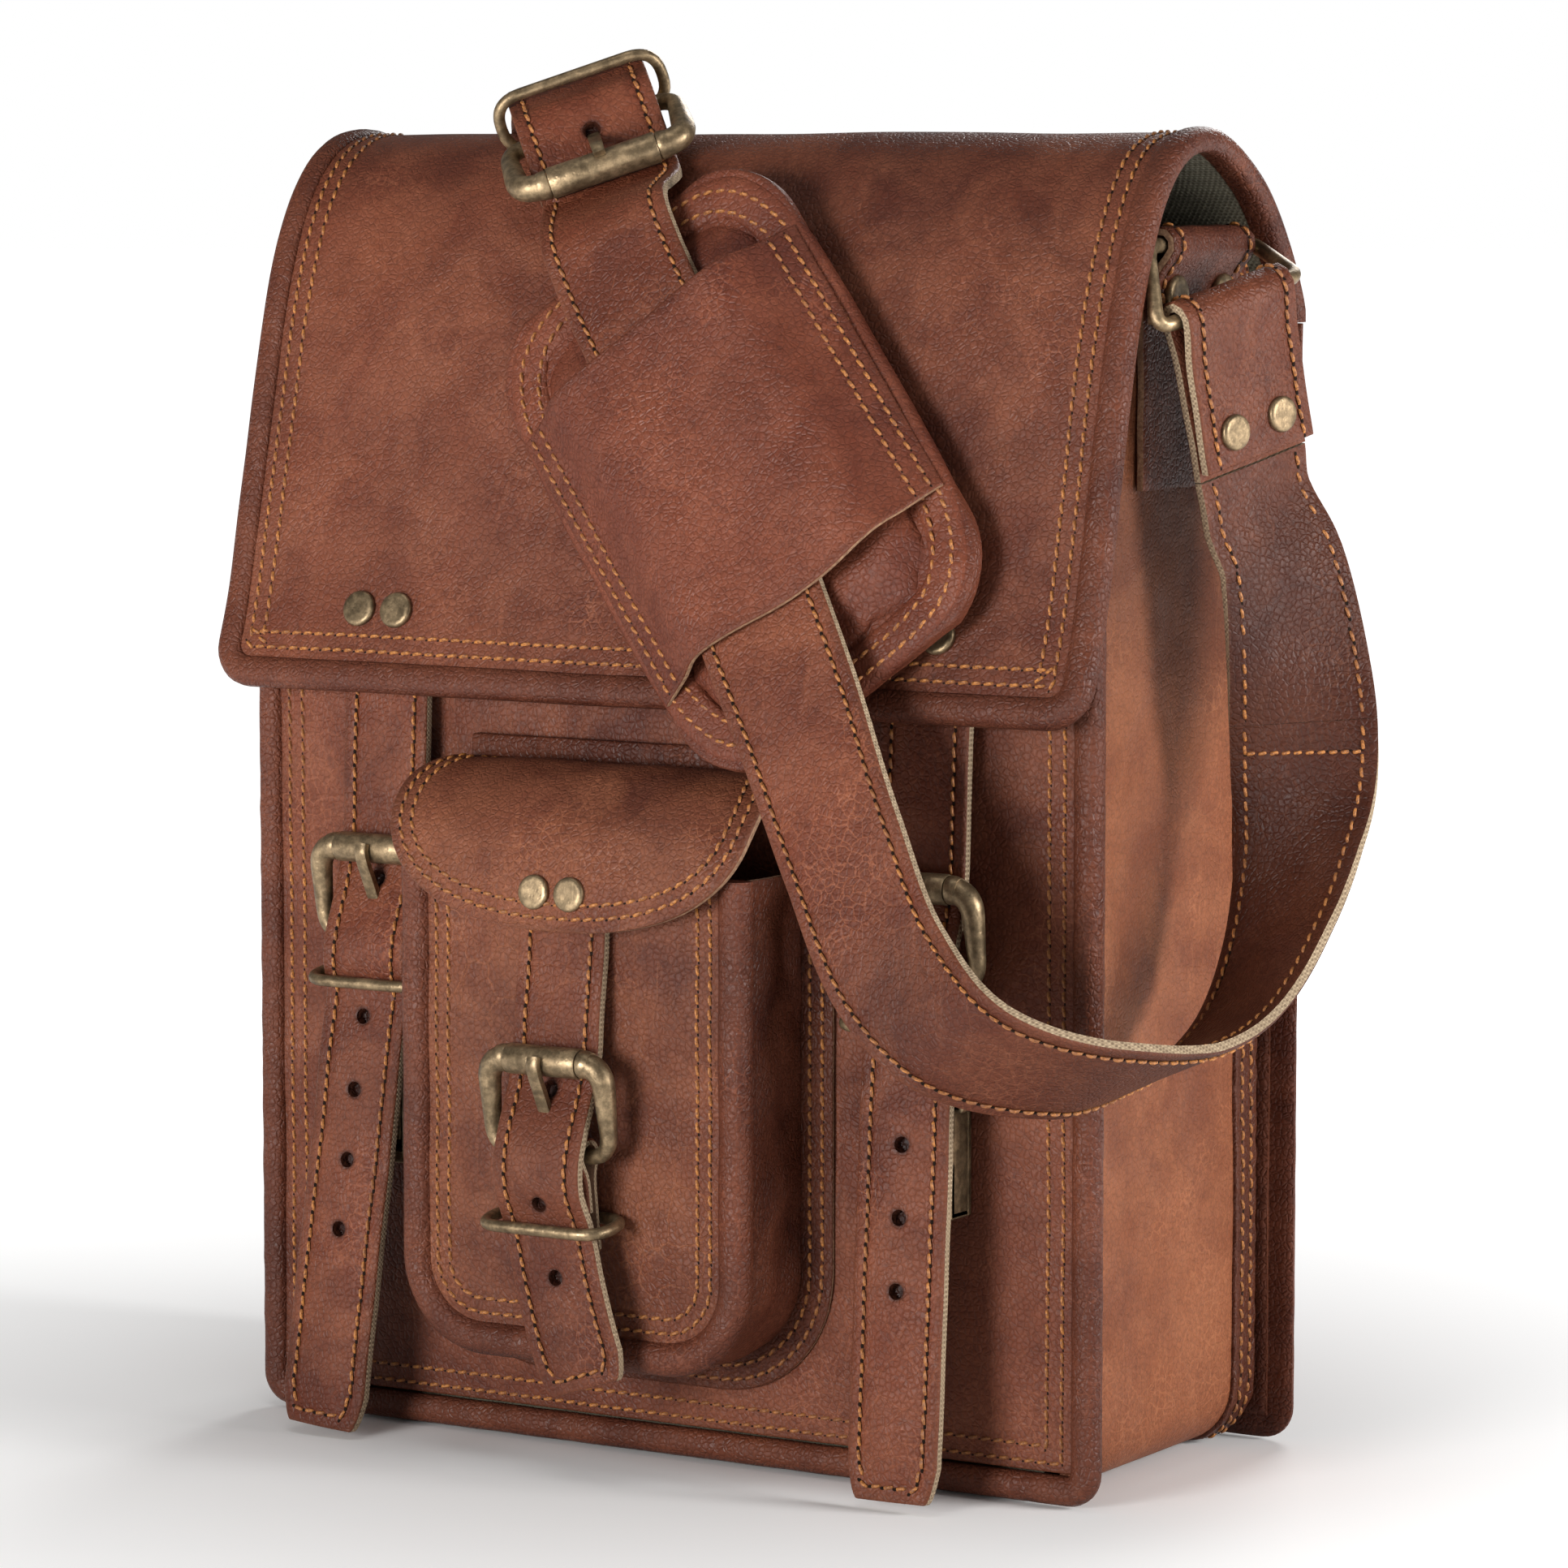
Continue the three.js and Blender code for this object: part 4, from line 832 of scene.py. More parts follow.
def flap():
    edge = FLAP_EDGE - 0.4
    low = FLAP.length + 4.2
    shape = Shape()
    along = towards_end(0, FLAP.length + 1.5, 2.5, HEM_RADIUS)
    half = FLAP_HALF
    across = lines(-half, half, 3.0, rows=(6.6, 10.6))

    def span(b):
        return corner_share(b, half, FLAP.length + 1.5, HEM_RADIUS)

    shape.sheet(FLAP, across, along, 2.5, ("leather", "canvas", "binding"), span=span, crown=0.5)
    outline = rounded(edge, 0, low, HEM_RADIUS + 2)
    for inset in (10.2, 14.2):
        shape.stitch(LongFlap, inset_line(outline, -inset)[2:-2])
    shape.finish("flap_leather", "flap", ["flap"], "leather")

    lining = Shape()
    under = Surface(FLAP.line - FLAP.normal * 2.7, FLAP.side, relief=lambda a, b, p: 0.2 * wobble(p, 35, 5))
    lining.sheet(under, lines(-half + 2, half - 2, 4.0), lines(2, FLAP.length - 1, 4.0), 1.2, ("canvas", "canvas", "canvas"))
    lining.finish("flap_lining", "flap", [], "canvas")

    trim = Shape()
    trim.trim(LongFlap, np.array(dense_curve(outline, 2.0)), HEM_ROLL, "binding")
    trim.finish("flap_edge_roll", "flap", ["flap_binding"], "darkLeather")


def dense_curve(outline, step):
    out = []
    for (a0, b0), (a1, b1) in zip(outline[:-1], outline[1:]):
        n = max(1, int(math.hypot(a1 - a0, b1 - b0) / step))
        out += [(a0 + (a1 - a0) * i / n, b0 + (b1 - b0) * i / n) for i in range(n)]
    return out + [outline[-1]]


def extended(surface, extra):
    """The same surface, carried straight on past its far end."""
    direction = unit(surface.line[-1] - surface.line[-2])
    line = np.vstack([surface.line, surface.line[-1] + direction * extra])
    side = np.vstack([surface.side, surface.side[-1:]])
    longer = Surface(line, side, surface.relief)
    longer.normal[-2:] = surface.normal[-2]
    return longer


LongFlap = extended(FLAP, 8.0)


def flap_rivets():
    for side, x in (("left", -CLOSURE_X), ("right", CLOSURE_X)):
        for i, dx in enumerate((-5.7, 5.7)):
            point, normal = FLAP.place(x + dx, at_height(FLAP, 210))
            shape = rivet(Shape(), point + normal * 0.5, normal)
            shape.finish(f"flap_rivet_cap_{side}_{i + 1}", "flap", [f"flap_rivet_{side}_{i + 1}"], "brass")


# ---- Front pocket ----
PIPING = [
    (8.6, -0.5), (8.0, 1.0), (6.5, 2.2), (4.4, 2.8), (2.3, 2.4), (0.8, 1.1),
    (0.0, -0.8), (0.2, -2.5), (1.4, -3.2), (4.5, -3.4), (8.6, -3.2),
]


def pocket():
    half = (POCKET_HIGH[0] - POCKET_LOW[0]) / 2
    y, high, low = POCKET_LOW[1], POCKET_HIGH[2], POCKET_LOW[2]
    radius = 24.0
    front = profile([(POCKET_X, y, high), (POCKET_X, y, low - 0.5)], (1, 0, 0), smooth=False,
                    relief=lambda a, b, p: 0.9 * np.cos(np.clip(a / half, -1, 1) * 1.5) + 0.35 * wobble(p, 44, 1.1))
    length = front.length
    inner = half - 5
    shape = Shape()
    along = towards_end(0, length - 5, 1.6, radius - 5, 14)
    shape.sheet(front, lines(-inner, inner, 1.8), along, 2.4, ("pocket", "suede", "raw"),
                span=lambda b: corner_share(b, inner, length - 5, radius - 5), crown=0.3)
    outline = dense_curve(rounded(half, 0, length, radius, 14), 2.0)
    for inset in (10.8, 14.4):
        shape.stitch(front, inset_line(outline, -inset)[1:-1])
    shape.trim(front, outline, PIPING, "binding")
    shape.finish("pocket_front_leather", "body", ["pocket_front"], "leather")

    # The wall round the pocket, and its flange sewn to the front panel.
    wall_line = [(POCKET_X + a, 0, high - b) for a, b in rounded(half - 1.2, 0, length - 1.2, radius - 1, 12)]
    back = FRONT_Y - 0.4
    depth = (back - (y + 2.8)) / 2
    centre = (back + y + 2.8) / 2
    wall = profile([(x, centre, z) for x, _, z in wall_line], (0, -1, 0), samples=700, smooth=False,
                   relief=lambda a, b, p: 1.1 * np.cos(np.clip(a / depth, -1, 1) * 1.57) * (0.4 + wobble(p, 34, 2.0)))
    shape = Shape()
    shape.sheet(wall, lines(-depth, depth, 2.2), lines(0, wall.length, 2.2), 1.8, ("binding", "suede", "raw"), crown=0.2)
    line = np.array([(x, back, z) for x, _, z in wall_line])
    tangent = unit(np.gradient(line, axis=0))
    inward = np.stack([-tangent[:, 2], np.zeros(len(line)), tangent[:, 0]], -1)
    flange = Surface(line, inward, relief=lambda a, b, p: 1.3 + 0.15 * wobble(p, 23, 3))
    shape.sheet(flange, lines(-9.0, 0.5, 1.2, rows=(2.6,)), lines(0, flange.length, 2.2), 1.2, ("binding", "suede", "raw"), crown=0.35)
    for a in (-2.6, -6.2):
        shape.stitch(flange, [(a, 2), (a, flange.length - 2)])
    shape.finish("pocket_wall", "body", ["pocket_gusset"], "tanLeather")

    # A folded strip over the line where the pocket's flap is sewn on.
    strip = Shape()
    strip.block((POCKET_X - 47, FRONT_Y - 3.0, 173.6), (POCKET_X + 49, FRONT_Y - 0.2, 179.4), "binding", 1.1)
    strip.finish("pocket_ridge", "body", [], "leather")


POCKET_FLAP = profile(
    [(POCKET_X, y, z) for y, z in
     [(-50.6, 173), (-59, 174.6), (-71, 171), (-80, 162), (-84.3, 150), (-86.2, 135.6)]],
    (1, 0, 0), samples=500,
    relief=lambda a, b, p: 0.35 * wobble(p, 33, 1.9) + 0.5 * np.cos(a / 18.0) * np.clip(b / 20, 0, 1),
)


def pocket_flap_half(b):
    """Half the pocket flap's width: it widens below its sewn top and closes in a full curve."""
    length = POCKET_FLAP.length
    shoulder = 0.46 * length
    if b < shoulder:
        return 45 + 8 * math.sin(b / shoulder * math.pi / 2)
    s = min(1.0, (b - shoulder) / (length - shoulder))
    return 53 * max(0.0, 1 - s**2.5) ** (1 / 2.3)


def pocket_flap():
    length = POCKET_FLAP.length
    share = np.sin(np.linspace(0, math.pi / 2, 26))
    along = np.concatenate([np.linspace(0, 0.6 * length, 20)[:-1], 0.6 * length + 0.3999 * length * share])
    along[-1] = length * 0.9995
    shape = Shape()
    across = lines(-53, 53, 2.2)
    shape.sheet(POCKET_FLAP, across, along, 2.2, ("pocket", "suede", "raw"), span=lambda b: pocket_flap_half(b) / 53)
    left = [(-pocket_flap_half(b), b) for b in np.concatenate([np.linspace(0, 0.85 * length, 30), 
            length * (0.85 + 0.15 * np.sin(np.linspace(0.1, math.pi / 2, 18)))])]
    outline = left + [(-a, b) for a, b in left[-2::-1]]
    for inset in (3.4, 6.8):
        shape.stitch(POCKET_FLAP, inset_line(outline, -inset)[3:-3])
    shape.stitch(POCKET_FLAP, [(-44, 2.0), (44, 2.0)], pitch=3.0)
    shape.finish("pocket_flap_leather", "pocket_flap", ["pocket_flap"], "leather")
    b = at_height(POCKET_FLAP, 145)
    for i, dx in enumerate((-5.2, 5.2)):
        point, normal = POCKET_FLAP.place(dx, b)
        rivet(Shape(), point + normal * 0.4, normal, 0.93).finish(
            f"pocket_rivet_cap_{i + 1}", "pocket_flap", [f"pocket_rivet_{i + 1}"], "brass")


# ---- Straps ----
def strap_piece(surface, width, thickness, start, stop, tip=0.0, holes=(), stitched=True, looks=("strap", "suede", "weave"),
                blunt=0.74, tone=None, runs_on=(False, False)):
    """A strap as a Shape: two rows of stitches along its edges, punched holes, and a blunt tip at the far end."""
    shape = Shape()
    half = width / 2
    across = lines(-half, half, 2.4, rows=(3.7,), at=[h[0] for h in holes])
    along = lines(start, stop, 2.4, at=[h[1] for h in holes])
    if tip:
        bend = stop - tip * (1 - np.linspace(0, 1, 14)) ** 2
        along = np.unique(np.concatenate([along[along < bend[0] - 0.4], bend]))

    def span(b):
        return 1.0 if not tip or stop - b > tip else blunt + (1 - blunt) * math.sqrt(max(0.0, (stop - b) / tip))

    shape.sheet(surface, across, along, thickness, looks, span=span if tip else None, rows=(3.7,), dents=holes, tone=tone,
                runs_on=runs_on)
    if stitched:
        a = half - 3.7
        if tip:
            end = stop - 3.6
            shape.stitch(surface, [(-a, start + 1.5), (-a, stop - tip - 1), (-a * 0.80, end), (a * 0.80, end),
                                   (a, stop - tip - 1), (a, start + 1.5)])
        else:
            shape.stitch(surface, [(-a, start + 0.8), (-a, stop - 0.8)])
            shape.stitch(surface, [(a, start + 0.8), (a, stop - 0.8)])
    return shape


def nearest(surface, point):
    """How far along a surface comes closest to a point."""
    return float(surface.arc[np.argmin(np.linalg.norm(surface.line - np.asarray(point, float), axis=1))])


CLOSURE_RELIEF = LEATHER / 2


def closures():
    for side, x, drift in (("left", -CLOSURE_X, -9.0), ("right", CLOSURE_X, 2.0)):
        route = [
            (0, -50.9, 216.5), (0, -52.9, 206), (0, -54.4, 190), (0, -55.6, 170), (0, -56.3, 152), (0, -58.4, 143),
            (0, -62.6, 133), (0, -65.2, 126), (0.05, -65.1, 120), (0.1, -63, 113.5), (0.2, -64, 103),
            (0.25, -65, 96), (0.45, -67.5, 70), (0.75, -71, 35), (1, -74, 2),
        ]
        surface = ribbon([((x + drift * d, y, z), (1, 0, 0)) for d, y, z in route],
                         relief=lambda a, b, p: CLOSURE_RELIEF - 0.012 * a * a * np.clip((b - 90) / 60, 0, 1) * 0.5
                         + 0.3 * wobble(p, 37, 2.6))
        holes = [(0.0, nearest(surface, (x, -66, z)), 2.0) for z in (107, 88, 70, 52)]
        slot_at = nearest(surface, (x, -58, 141.0))
        shape = strap_piece(surface, CLOSURE_W, LEATHER, 0, surface.length, tip=9, holes=holes + [(0.0, slot_at, 2.3)])
        shape.finish(f"closure_strap_{side}", "flap", [f"closure_{side}_strap"], "leather")


def pocket_closure_strap():
    route = [
        (3, 149.5, 0), (3.2, 143, 0), (4.2, 128, 0), (6, 114, 0), (6.8, 106, 0), (9, 97, 0), (13.6, 87, 0),
        (15.8, 80, 0), (15.4, 73, 0), (12.7, 64, 1), (12.4, 50, 4), (12.2, 36, 8), (12, 24, 12),
    ]
    y = POCKET_LOW[1]
    surface = ribbon([((POCKET_X + dx, y - dy, z), (1, 0, 0)) for dy, z, dx in route],
                     relief=lambda a, b, p: LEATHER / 2 + 0.25 * wobble(p, 31, 0.4))
    holes = [(0.0, nearest(surface, (POCKET_X, y - 13, z)), 2.0) for z in (70, 50)]
    holes.append((0.0, nearest(surface, (POCKET_X, y - 9, 96.5)), 2.3))
    shape = strap_piece(surface, CLOSURE_W, LEATHER, 0, surface.length, tip=7, holes=holes, tone=lambda b: 0.24 + 0 * b)
    shape.finish("pocket_strap_leather", "pocket_flap", ["pocket_strap"], "leather")


# ---- Buckles ----
class Place:
    """A local frame: x across the strap, y along it towards the roller, z out."""

    def __init__(self, origin, x, y, z):
        self.origin = np.asarray(origin, float)
        self.axes = np.array([x, y, z], float)

    def __call__(self, x, y, z):
        return self.origin + np.asarray([x, y, z], float) @ self.axes

    def all(self, points):
        return self.origin + np.asarray(points, float) @ self.axes


def leaning(x, y, z, tilt=0.14):
    s, c = math.sin(tilt), math.cos(tilt)
    return Place((x, y, z), (1, 0, 0), (0, -s, c), (0, -c, -s))


def loop_points(corners, radius, steps=7):
    """A closed line through corners, each rounded by a quadratic curve."""
    out = []
    corners = [np.asarray(c, float) for c in corners]
    for i, corner in enumerate(corners):
        a = corner + unit(corners[i - 1] - corner) * radius
        b = corner + unit(corners[(i + 1) % len(corners)] - corner) * radius
        for t in np.linspace(0, 1, steps):
            out.append((1 - t) ** 2 * a + 2 * t * (1 - t) * corner + t * t * b)
    return np.array(out)


def spread(points, step):
    """Closed points at even spacing."""
    p = np.vstack([points, points[:1]])
    arc = np.concatenate([[0], np.cumsum(np.linalg.norm(np.diff(p, axis=0), axis=1))])
    s = np.linspace(0, arc[-1], int(arc[-1] / step), endpoint=False)
    return np.stack([np.interp(s, arc, p[:, i]) for i in range(3)], -1)


def buckle(name, body, place, half, reach, bar, roller_length, keeper):
    """A roller buckle: heavy at the roller, tapering to the heel bar; a prong; and a wire keeper."""
    top = bar + 0.9
    corners = [(-half + 0.3, 0, 0), (half - 0.3, 0, 0), (half - 0.7, reach, 0), (-half + 0.7, reach, 0)]
    line = spread(loop_points(corners, 6.2, 9), 0.9)
    rise = np.clip(line[:, 1] / reach, 0, 1)
    inside = (np.abs(line[:, 0]) < roller_length / 2 + 0.3) & (line[:, 1] > reach - 2)
    radii = np.where(inside, bar - 0.3, (bar - 0.35) + (top - bar + 0.35) * rise**1.2)
    shape = Shape().tube(place.all(line), radii, "brass", closed=True, sides=18, up=place.axes[2])
    for s in (-1, 1):
        a, b = place(s * (roller_length / 2 + 0.15), reach, 0), place(s * (half - 2.6), reach, 0)
        shape.turned(a, b - a, [(0, 0), (top + 0.1, 0), (top + 0.35, 0.5), (top + 0.2, 2.0), (top - 0.2, 3.2), (0, 3.2)], "brass")
    shape.finish(name + "_buckle", body, [name + "_frame"], "brass")

    roll = roller_length / 2
    outline = [(bar + 0.1, -roll), (top + 0.35, -roll), (top + 0.6, -roll + 0.45), (top + 0.55, -roll * 0.4),
               (top + 0.55, roll * 0.4), (top + 0.6, roll - 0.45), (top + 0.35, roll), (bar + 0.1, roll)]
    shape = Shape().turned(place(0, reach, 0), place.axes[0], outline, "brass", sides=36)
    seam_at = place(0, reach, 0)
    seam = [seam_at + place.axes[0] * t + (place.axes[1] * 0.35 - place.axes[2] * 0.94) * (top + 0.55) for t in (-roll + 0.4, 0, roll - 0.4)]
    shape.tube(seam, 0.22, "hole", sides=6)
    shape.finish(name + "_roller_tube", name + "_roller", [name + "_roller"], "brass")

    tip = top + 1.75
    path = catmull([(0, bar + 0.2, -0.6), (0, reach * 0.35, 0.6), (0, reach * 0.68, tip * 0.62),
                    (0, reach - 2.2, tip * 0.99), (0, reach + 0.2, tip + 0.25), (0, reach + 2.2, tip - 0.5)], np.linspace(0, 1, 26))
    share = np.linspace(0, 1, len(path))
    width = 1.75 - 0.25 * share
    section = [(-1, -0.75), (-0.8, -1), (0.8, -1), (1, -0.75), (1, 0.75), (0.75, 1), (-0.75, 1), (-1, 0.75)]
    tangent = unit(np.gradient(path, axis=0))
    side = np.array([1.0, 0, 0])
    out = np.cross(side, tangent)
    rings = [p + np.outer([s[0] * w for s in section], side) + np.outer([s[1] * 1.05 for s in section], o)
             for p, w, o in zip(path, width, out)]
    shape = Shape().sweep(None, [place.all(r) for r in rings], "brass", closed=False)
    eye = [(bar + 0.2, -1.75), (bar + 1.5, -1.75), (bar + 1.65, -1.3), (bar + 1.65, 1.3), (bar + 1.5, 1.75), (bar + 0.2, 1.75)]
    shape.turned(place(0, 0, 0), place.axes[0], eye, "brass", sides=24)
    shape.finish(name + "_tongue", name + "_prong", [name + "_prong"], "brass")

    y, k_half, low, high = keeper
    corners = [(-k_half, y, low), (k_half, y, low), (k_half, y, high), (-k_half, y, high)]
    line = spread(loop_points(corners, (high - low) * 0.46, 9), 0.8)
    Shape().tube(place.all(line), 1.5, "brass", closed=True, sides=14, up=place.axes[1]).finish(
        name + "_loop", name + "_keeper", [name + "_keeper"], "brass")


def chape(name, body, place, bar, width, short, long):
    """The leather folded round the heel bar, with a slot for the prong."""
    r = bar + 0.3 + 1.05
    arc = [(0, r * math.sin(t), r * math.cos(t)) for t in np.linspace(0, math.pi, 7)]
    stations = [(0, -short, 1.35), (0, -5.5, 1.65)] + arc + [(0, -5.5, -1.65), (0, -short, -1.35), (0, -long, -1.35)]
    surface = ribbon([(place(*p), -place.axes[0]) for p in stations], relief=lambda a, b, p: 1.0 + 0 * a)
    shape = Shape()
    middle = surface.length * 0.42
    holes = [(0.0, middle, 2.6)]
    shape.sheet(surface, lines(-width / 2, width / 2, 2.5, at=[0.0]), lines(0, surface.length, 1.6, at=[middle]), 2.0,
                ("strap", "suede", "weave"), dents=holes)
    shape.stitch(surface, [(-width / 2 + 3, 2.5), (width / 2 - 3, 2.5)])
    return shape.finish(name + "_chape_leather", body, [name + "_chape"], "darkLeather")


def small_buckles():
    for side, x in (("left", -CLOSURE_X), ("right", CLOSURE_X)):
        place = leaning(x, -58.5, 126.5)
        name = "closure_" + side
        buckle(name, "flap", place, 17.4, 23.4, 2.3, 21.0, (-9.5, 17.6, -4.3, 10.3))
        chape(name, "flap", place, 2.3, 22, 12, 19.5)
    place = leaning(POCKET_X, POCKET_LOW[1] - 9, 81)
    buckle("pocket", "pocket_flap", place, 17.4, 23.4, 2.3, 21.0, (-17, 17.6, -4.3, 9.6))
    chape("pocket", "pocket_flap", place, 2.3, 22, 14, 24)


# ---- Push locks ----
def locks():
    for side, x in (("left", -CLOSURE_X), ("right", CLOSURE_X)):
        low, high = box_mm("lock_socket_" + side)
        mouth, collar = high[2] - 3.5, high[2]
        front, back = low[1] + 1, high[1]
        shape = Shape()
        shape.block((x - 10, back - 2, low[2]), (x + 10, back, mouth + 0.3), "brass", 0.6)
        for s in (-1, 1):
            shape.block((x + s * 8.9 - 1.1, front, low[2]), (x + s * 8.9 + 1.1, back - 1.5, mouth + 0.3), "brass", 0.6)
            shape.block((x + s * 8.2 - 1.8, front, low[2]), (x + s * 8.2 + 1.8, front + 2, mouth + 0.3), "brass", 0.6)
        shape.block((x - 10, front, low[2]), (x + 10, back - 1.5, low[2] + 3), "brass", 0.6)
        shape.block((x - 10, front, mouth - 4.6), (x + 10, front + 2, mouth + 0.3), "brass", 0.6)
        for s in (-1, 1):
            shape.block((x + s * 10.8 - 2.8, front - 1, mouth - 0.5), (x + s * 10.8 + 2.8, back, collar), "brass", 0.9)
        shape.block((x - 13.5, front - 1, mouth - 0.5), (x + 13.5, front + 2, collar), "brass", 0.9)
        shape.block((x - 13.5, back - 2, mouth - 0.5), (x + 13.5, back, collar), "brass", 0.6)
        shape.finish("lock_case_" + side, "body", ["lock_socket_" + side], "brass")

        low, high = box_mm("lock_leaf_" + side)
        leaf = Shape().block((x - 5.6, low[1], low[2]), (x + 5.6, low[1] + 1.1, high[2]), "brass", 0.5)
        leaf.block((x - 5.6, low[1], low[2]), (x + 5.6, high[1], low[2] + 1.6), "brass", 0.5)
        leaf.finish("lock_spring_leaf_" + side, "lock_leaf_" + side, ["lock_leaf_" + side], "brass")

        low, high = box_mm("lock_tongue_" + side)
        tongue = Shape().block(low, (high[0], high[1], low[2] + 3.4), "brass", 0.8)
        tongue.block((low[0], low[1], low[2]), (high[0], low[1] + 1.1, high[2]), "brass", 0.5)
        tongue.block((low[0], high[1] - 1.1, low[2]), (high[0], high[1], high[2]), "brass", 0.5)
        tongue.finish("lock_head_" + side, "flap", ["lock_tongue_" + side], "brass")


# ---- Side rings, tabs and strap ends ----
FOLD_LENGTH = 40.0
RINGS = {
    "right": (1, (138, -12.5, 289.5), (0.31, 0.92, 0.25), (0.08, 0.3, -0.93)),
    "left": (-1, (-134, 0, 285.5), (0, 1, 0), (0, 0, -1)),
}
STRAP_ENDS = {}


def rings():
    for name, (side, bar, along, down) in RINGS.items():
        bar, along = np.array(bar, float), unit(along)
        down = unit(np.asarray(down, float) - np.dot(down, along) * along)
        pivot = np.array([side * 123.6, 0, 303])
        corners = [pivot + (0, -27, 0), pivot + (0, 27, 0), bar + along * 24, bar - along * 24]
        line = spread(loop_points(corners, 4.6, 9), 1.0)
        Shape().tube(line, 1.85, "brass", closed=True, sides=16, up=(side, 0, 0.3)).finish(
            "ring_wire_" + name, "ring_" + name, ["ring_" + name], "brass")

        # The tab folds over the ring's upper bar and is riveted to itself.
        r = 3.5
        x = side * 118.65
        roll = [(pivot[0] + side * r * math.cos(t), pivot[2] + r * math.sin(t)) for t in np.linspace(math.pi, -0.1 * math.pi, 7)]
        route = [(x, 244), (x, 270), (x, 294)] + roll + [(x + side * 3.1, 294), (x + side * 2.95, 284)]
        surface = ribbon([((px, 0, pz), (0, -1, 0) if side > 0 else (0, -1, 0)) for px, pz in route],
                         relief=lambda a, b, p: 1.25 + 0.15 * wobble(p, 22, 3))
        if np.dot(surface.normal[450], (side, 0, 1)) < 0:
            surface = Surface(surface.line, -surface.side, surface.relief)
        shape = strap_piece(surface, 42, 2.5, 0, surface.length, looks=("binding", "binding", "raw"))
        for dy in (-12, 12):
            rivet(shape, (x + side * 5.0, dy, 291), (side, 0, 0), 1.05)
        low = 14.0
        shape.stitch(surface, [(-17, 2.5), (17, 2.5)])
        shape.stitch(surface, [(-15, low + 16), (0, low), (15, low + 16)])
        shape.finish("ring_tab_" + name, "body", ["tab_" + name], "darkLeather")

        out = unit(np.cross(down, along))
        if out[0] * side < 0:
            out = -out

        def at(n, d):
            return bar + out * n + down * d

        fold = 1.75 + 0.35 + LEATHER / 2
        turn = [(fold * math.cos(t), -fold * math.sin(t)) for t in np.linspace(0, math.pi, 7)]
        route = [(1.7, 38), (1.8, 24), (2.4, 10)] + turn + [(-2.4, 10), (-1.8, 24), (-1.7, FOLD_LENGTH)]
        surface = ribbon([(at(n, d), along) for n, d in route], relief=lambda a, b, p: LEATHER / 2 + 0.2 * wobble(p, 25, 1))
        if np.dot(surface.normal[30], out) < 0:
            surface = Surface(surface.line, -surface.side, surface.relief)
        shape = strap_piece(surface, STRAP_W, LEATHER, 0, surface.length, looks=("strap", "strap", "weave"),
                            tone=lambda b: 0.26 + 0 * b)
        shape.finish("strap_fold_" + name, "ring_" + name, ["strap_end_" + name], "leather")
        for i, s in enumerate((-8, 8)):
            cap = rivet(Shape(), at(3.5, 30) + along * s, out, 0.95)
            cap.finish(f"strap_rivet_cap_{name}_{i + 1}", "ring_" + name, [f"strap_rivet_{name}_{i + 1}"], "brass")
        STRAP_ENDS[name] = (at(-1.7, FOLD_LENGTH + 0.3), at(-1.7, FOLD_LENGTH + 12), along)


# ---- Shoulder strap ----
DROP_SHARE, SIDE_SHARE = 0.13, 0.40


def shoulder_place():
    heading = unit((0.61, -0.65, -0.45))
    across = np.array([-0.87, -0.41, -0.25])
    across = unit(across - np.dot(across, heading) * heading)
    outward = np.cross(across, heading)
    return Place(np.array([-24.5, -37.5, 322]) - 22 * heading, across, heading, outward)


def long_route(place):
    w = -place.axes[0]
    end, following, across = STRAP_ENDS["right"]
    local = [(place(0, y, z), w) for y, z in [(-14, 5.6), (-7, 5.9), (0, 7.2), (7, 3), (18, -5.2), (24, -6.2)]]
    return [
        ((-72, 30.5, 326), (0.72, 0.56, -0.4)), ((-66, 19, 334), (0.8, 0.57, -0.1)), ((-59, 4, 340), (0.87, 0.45, 0.05)),
        *local,
        ((-16, -50.5, 308.5), (0.9, 0.14, 0.38)), ((-9, -54.5, 297.5), (0.88, 0.12, 0.45)), ((3.4, -59, 280), (0.85, 0.12, 0.5)),
        ((24.8, -67.4, 248.8), (0.85, 0.125, 0.5)), ((44.6, -75.6, 216.2), (0.84, 0.13, 0.53)), ((60, -83, 192), (0.84, 0.08, 0.53)),
        ((77.8, -92, 162), (0.86, -0.02, 0.52)), ((96, -99, 134), (0.8, -0.05, 0.6)), ((118, -101, 118), (0.68, -0.3, 0.66)),
        ((138, -85, 110.5), (0.6, -0.55, 0.58)), ((146, -55, 110), (0.75, -0.58, 0.3)), ((150, -28, 119), (0.85, -0.48, 0.22)),
        ((151, -9, 137.5), (0.93, -0.3, 0.2)), ((151, 1.5, 157.3), (0.96, -0.1, 0.1)), ((150, 6, 176), (0.93, 0.3, 0.05)),
        ((148, 6.5, 200), (0.7, 0.7, 0.03)), ((144, 4.5, 226), (0.45, 0.88, 0.1)), (following, across), (end, across),
    ]


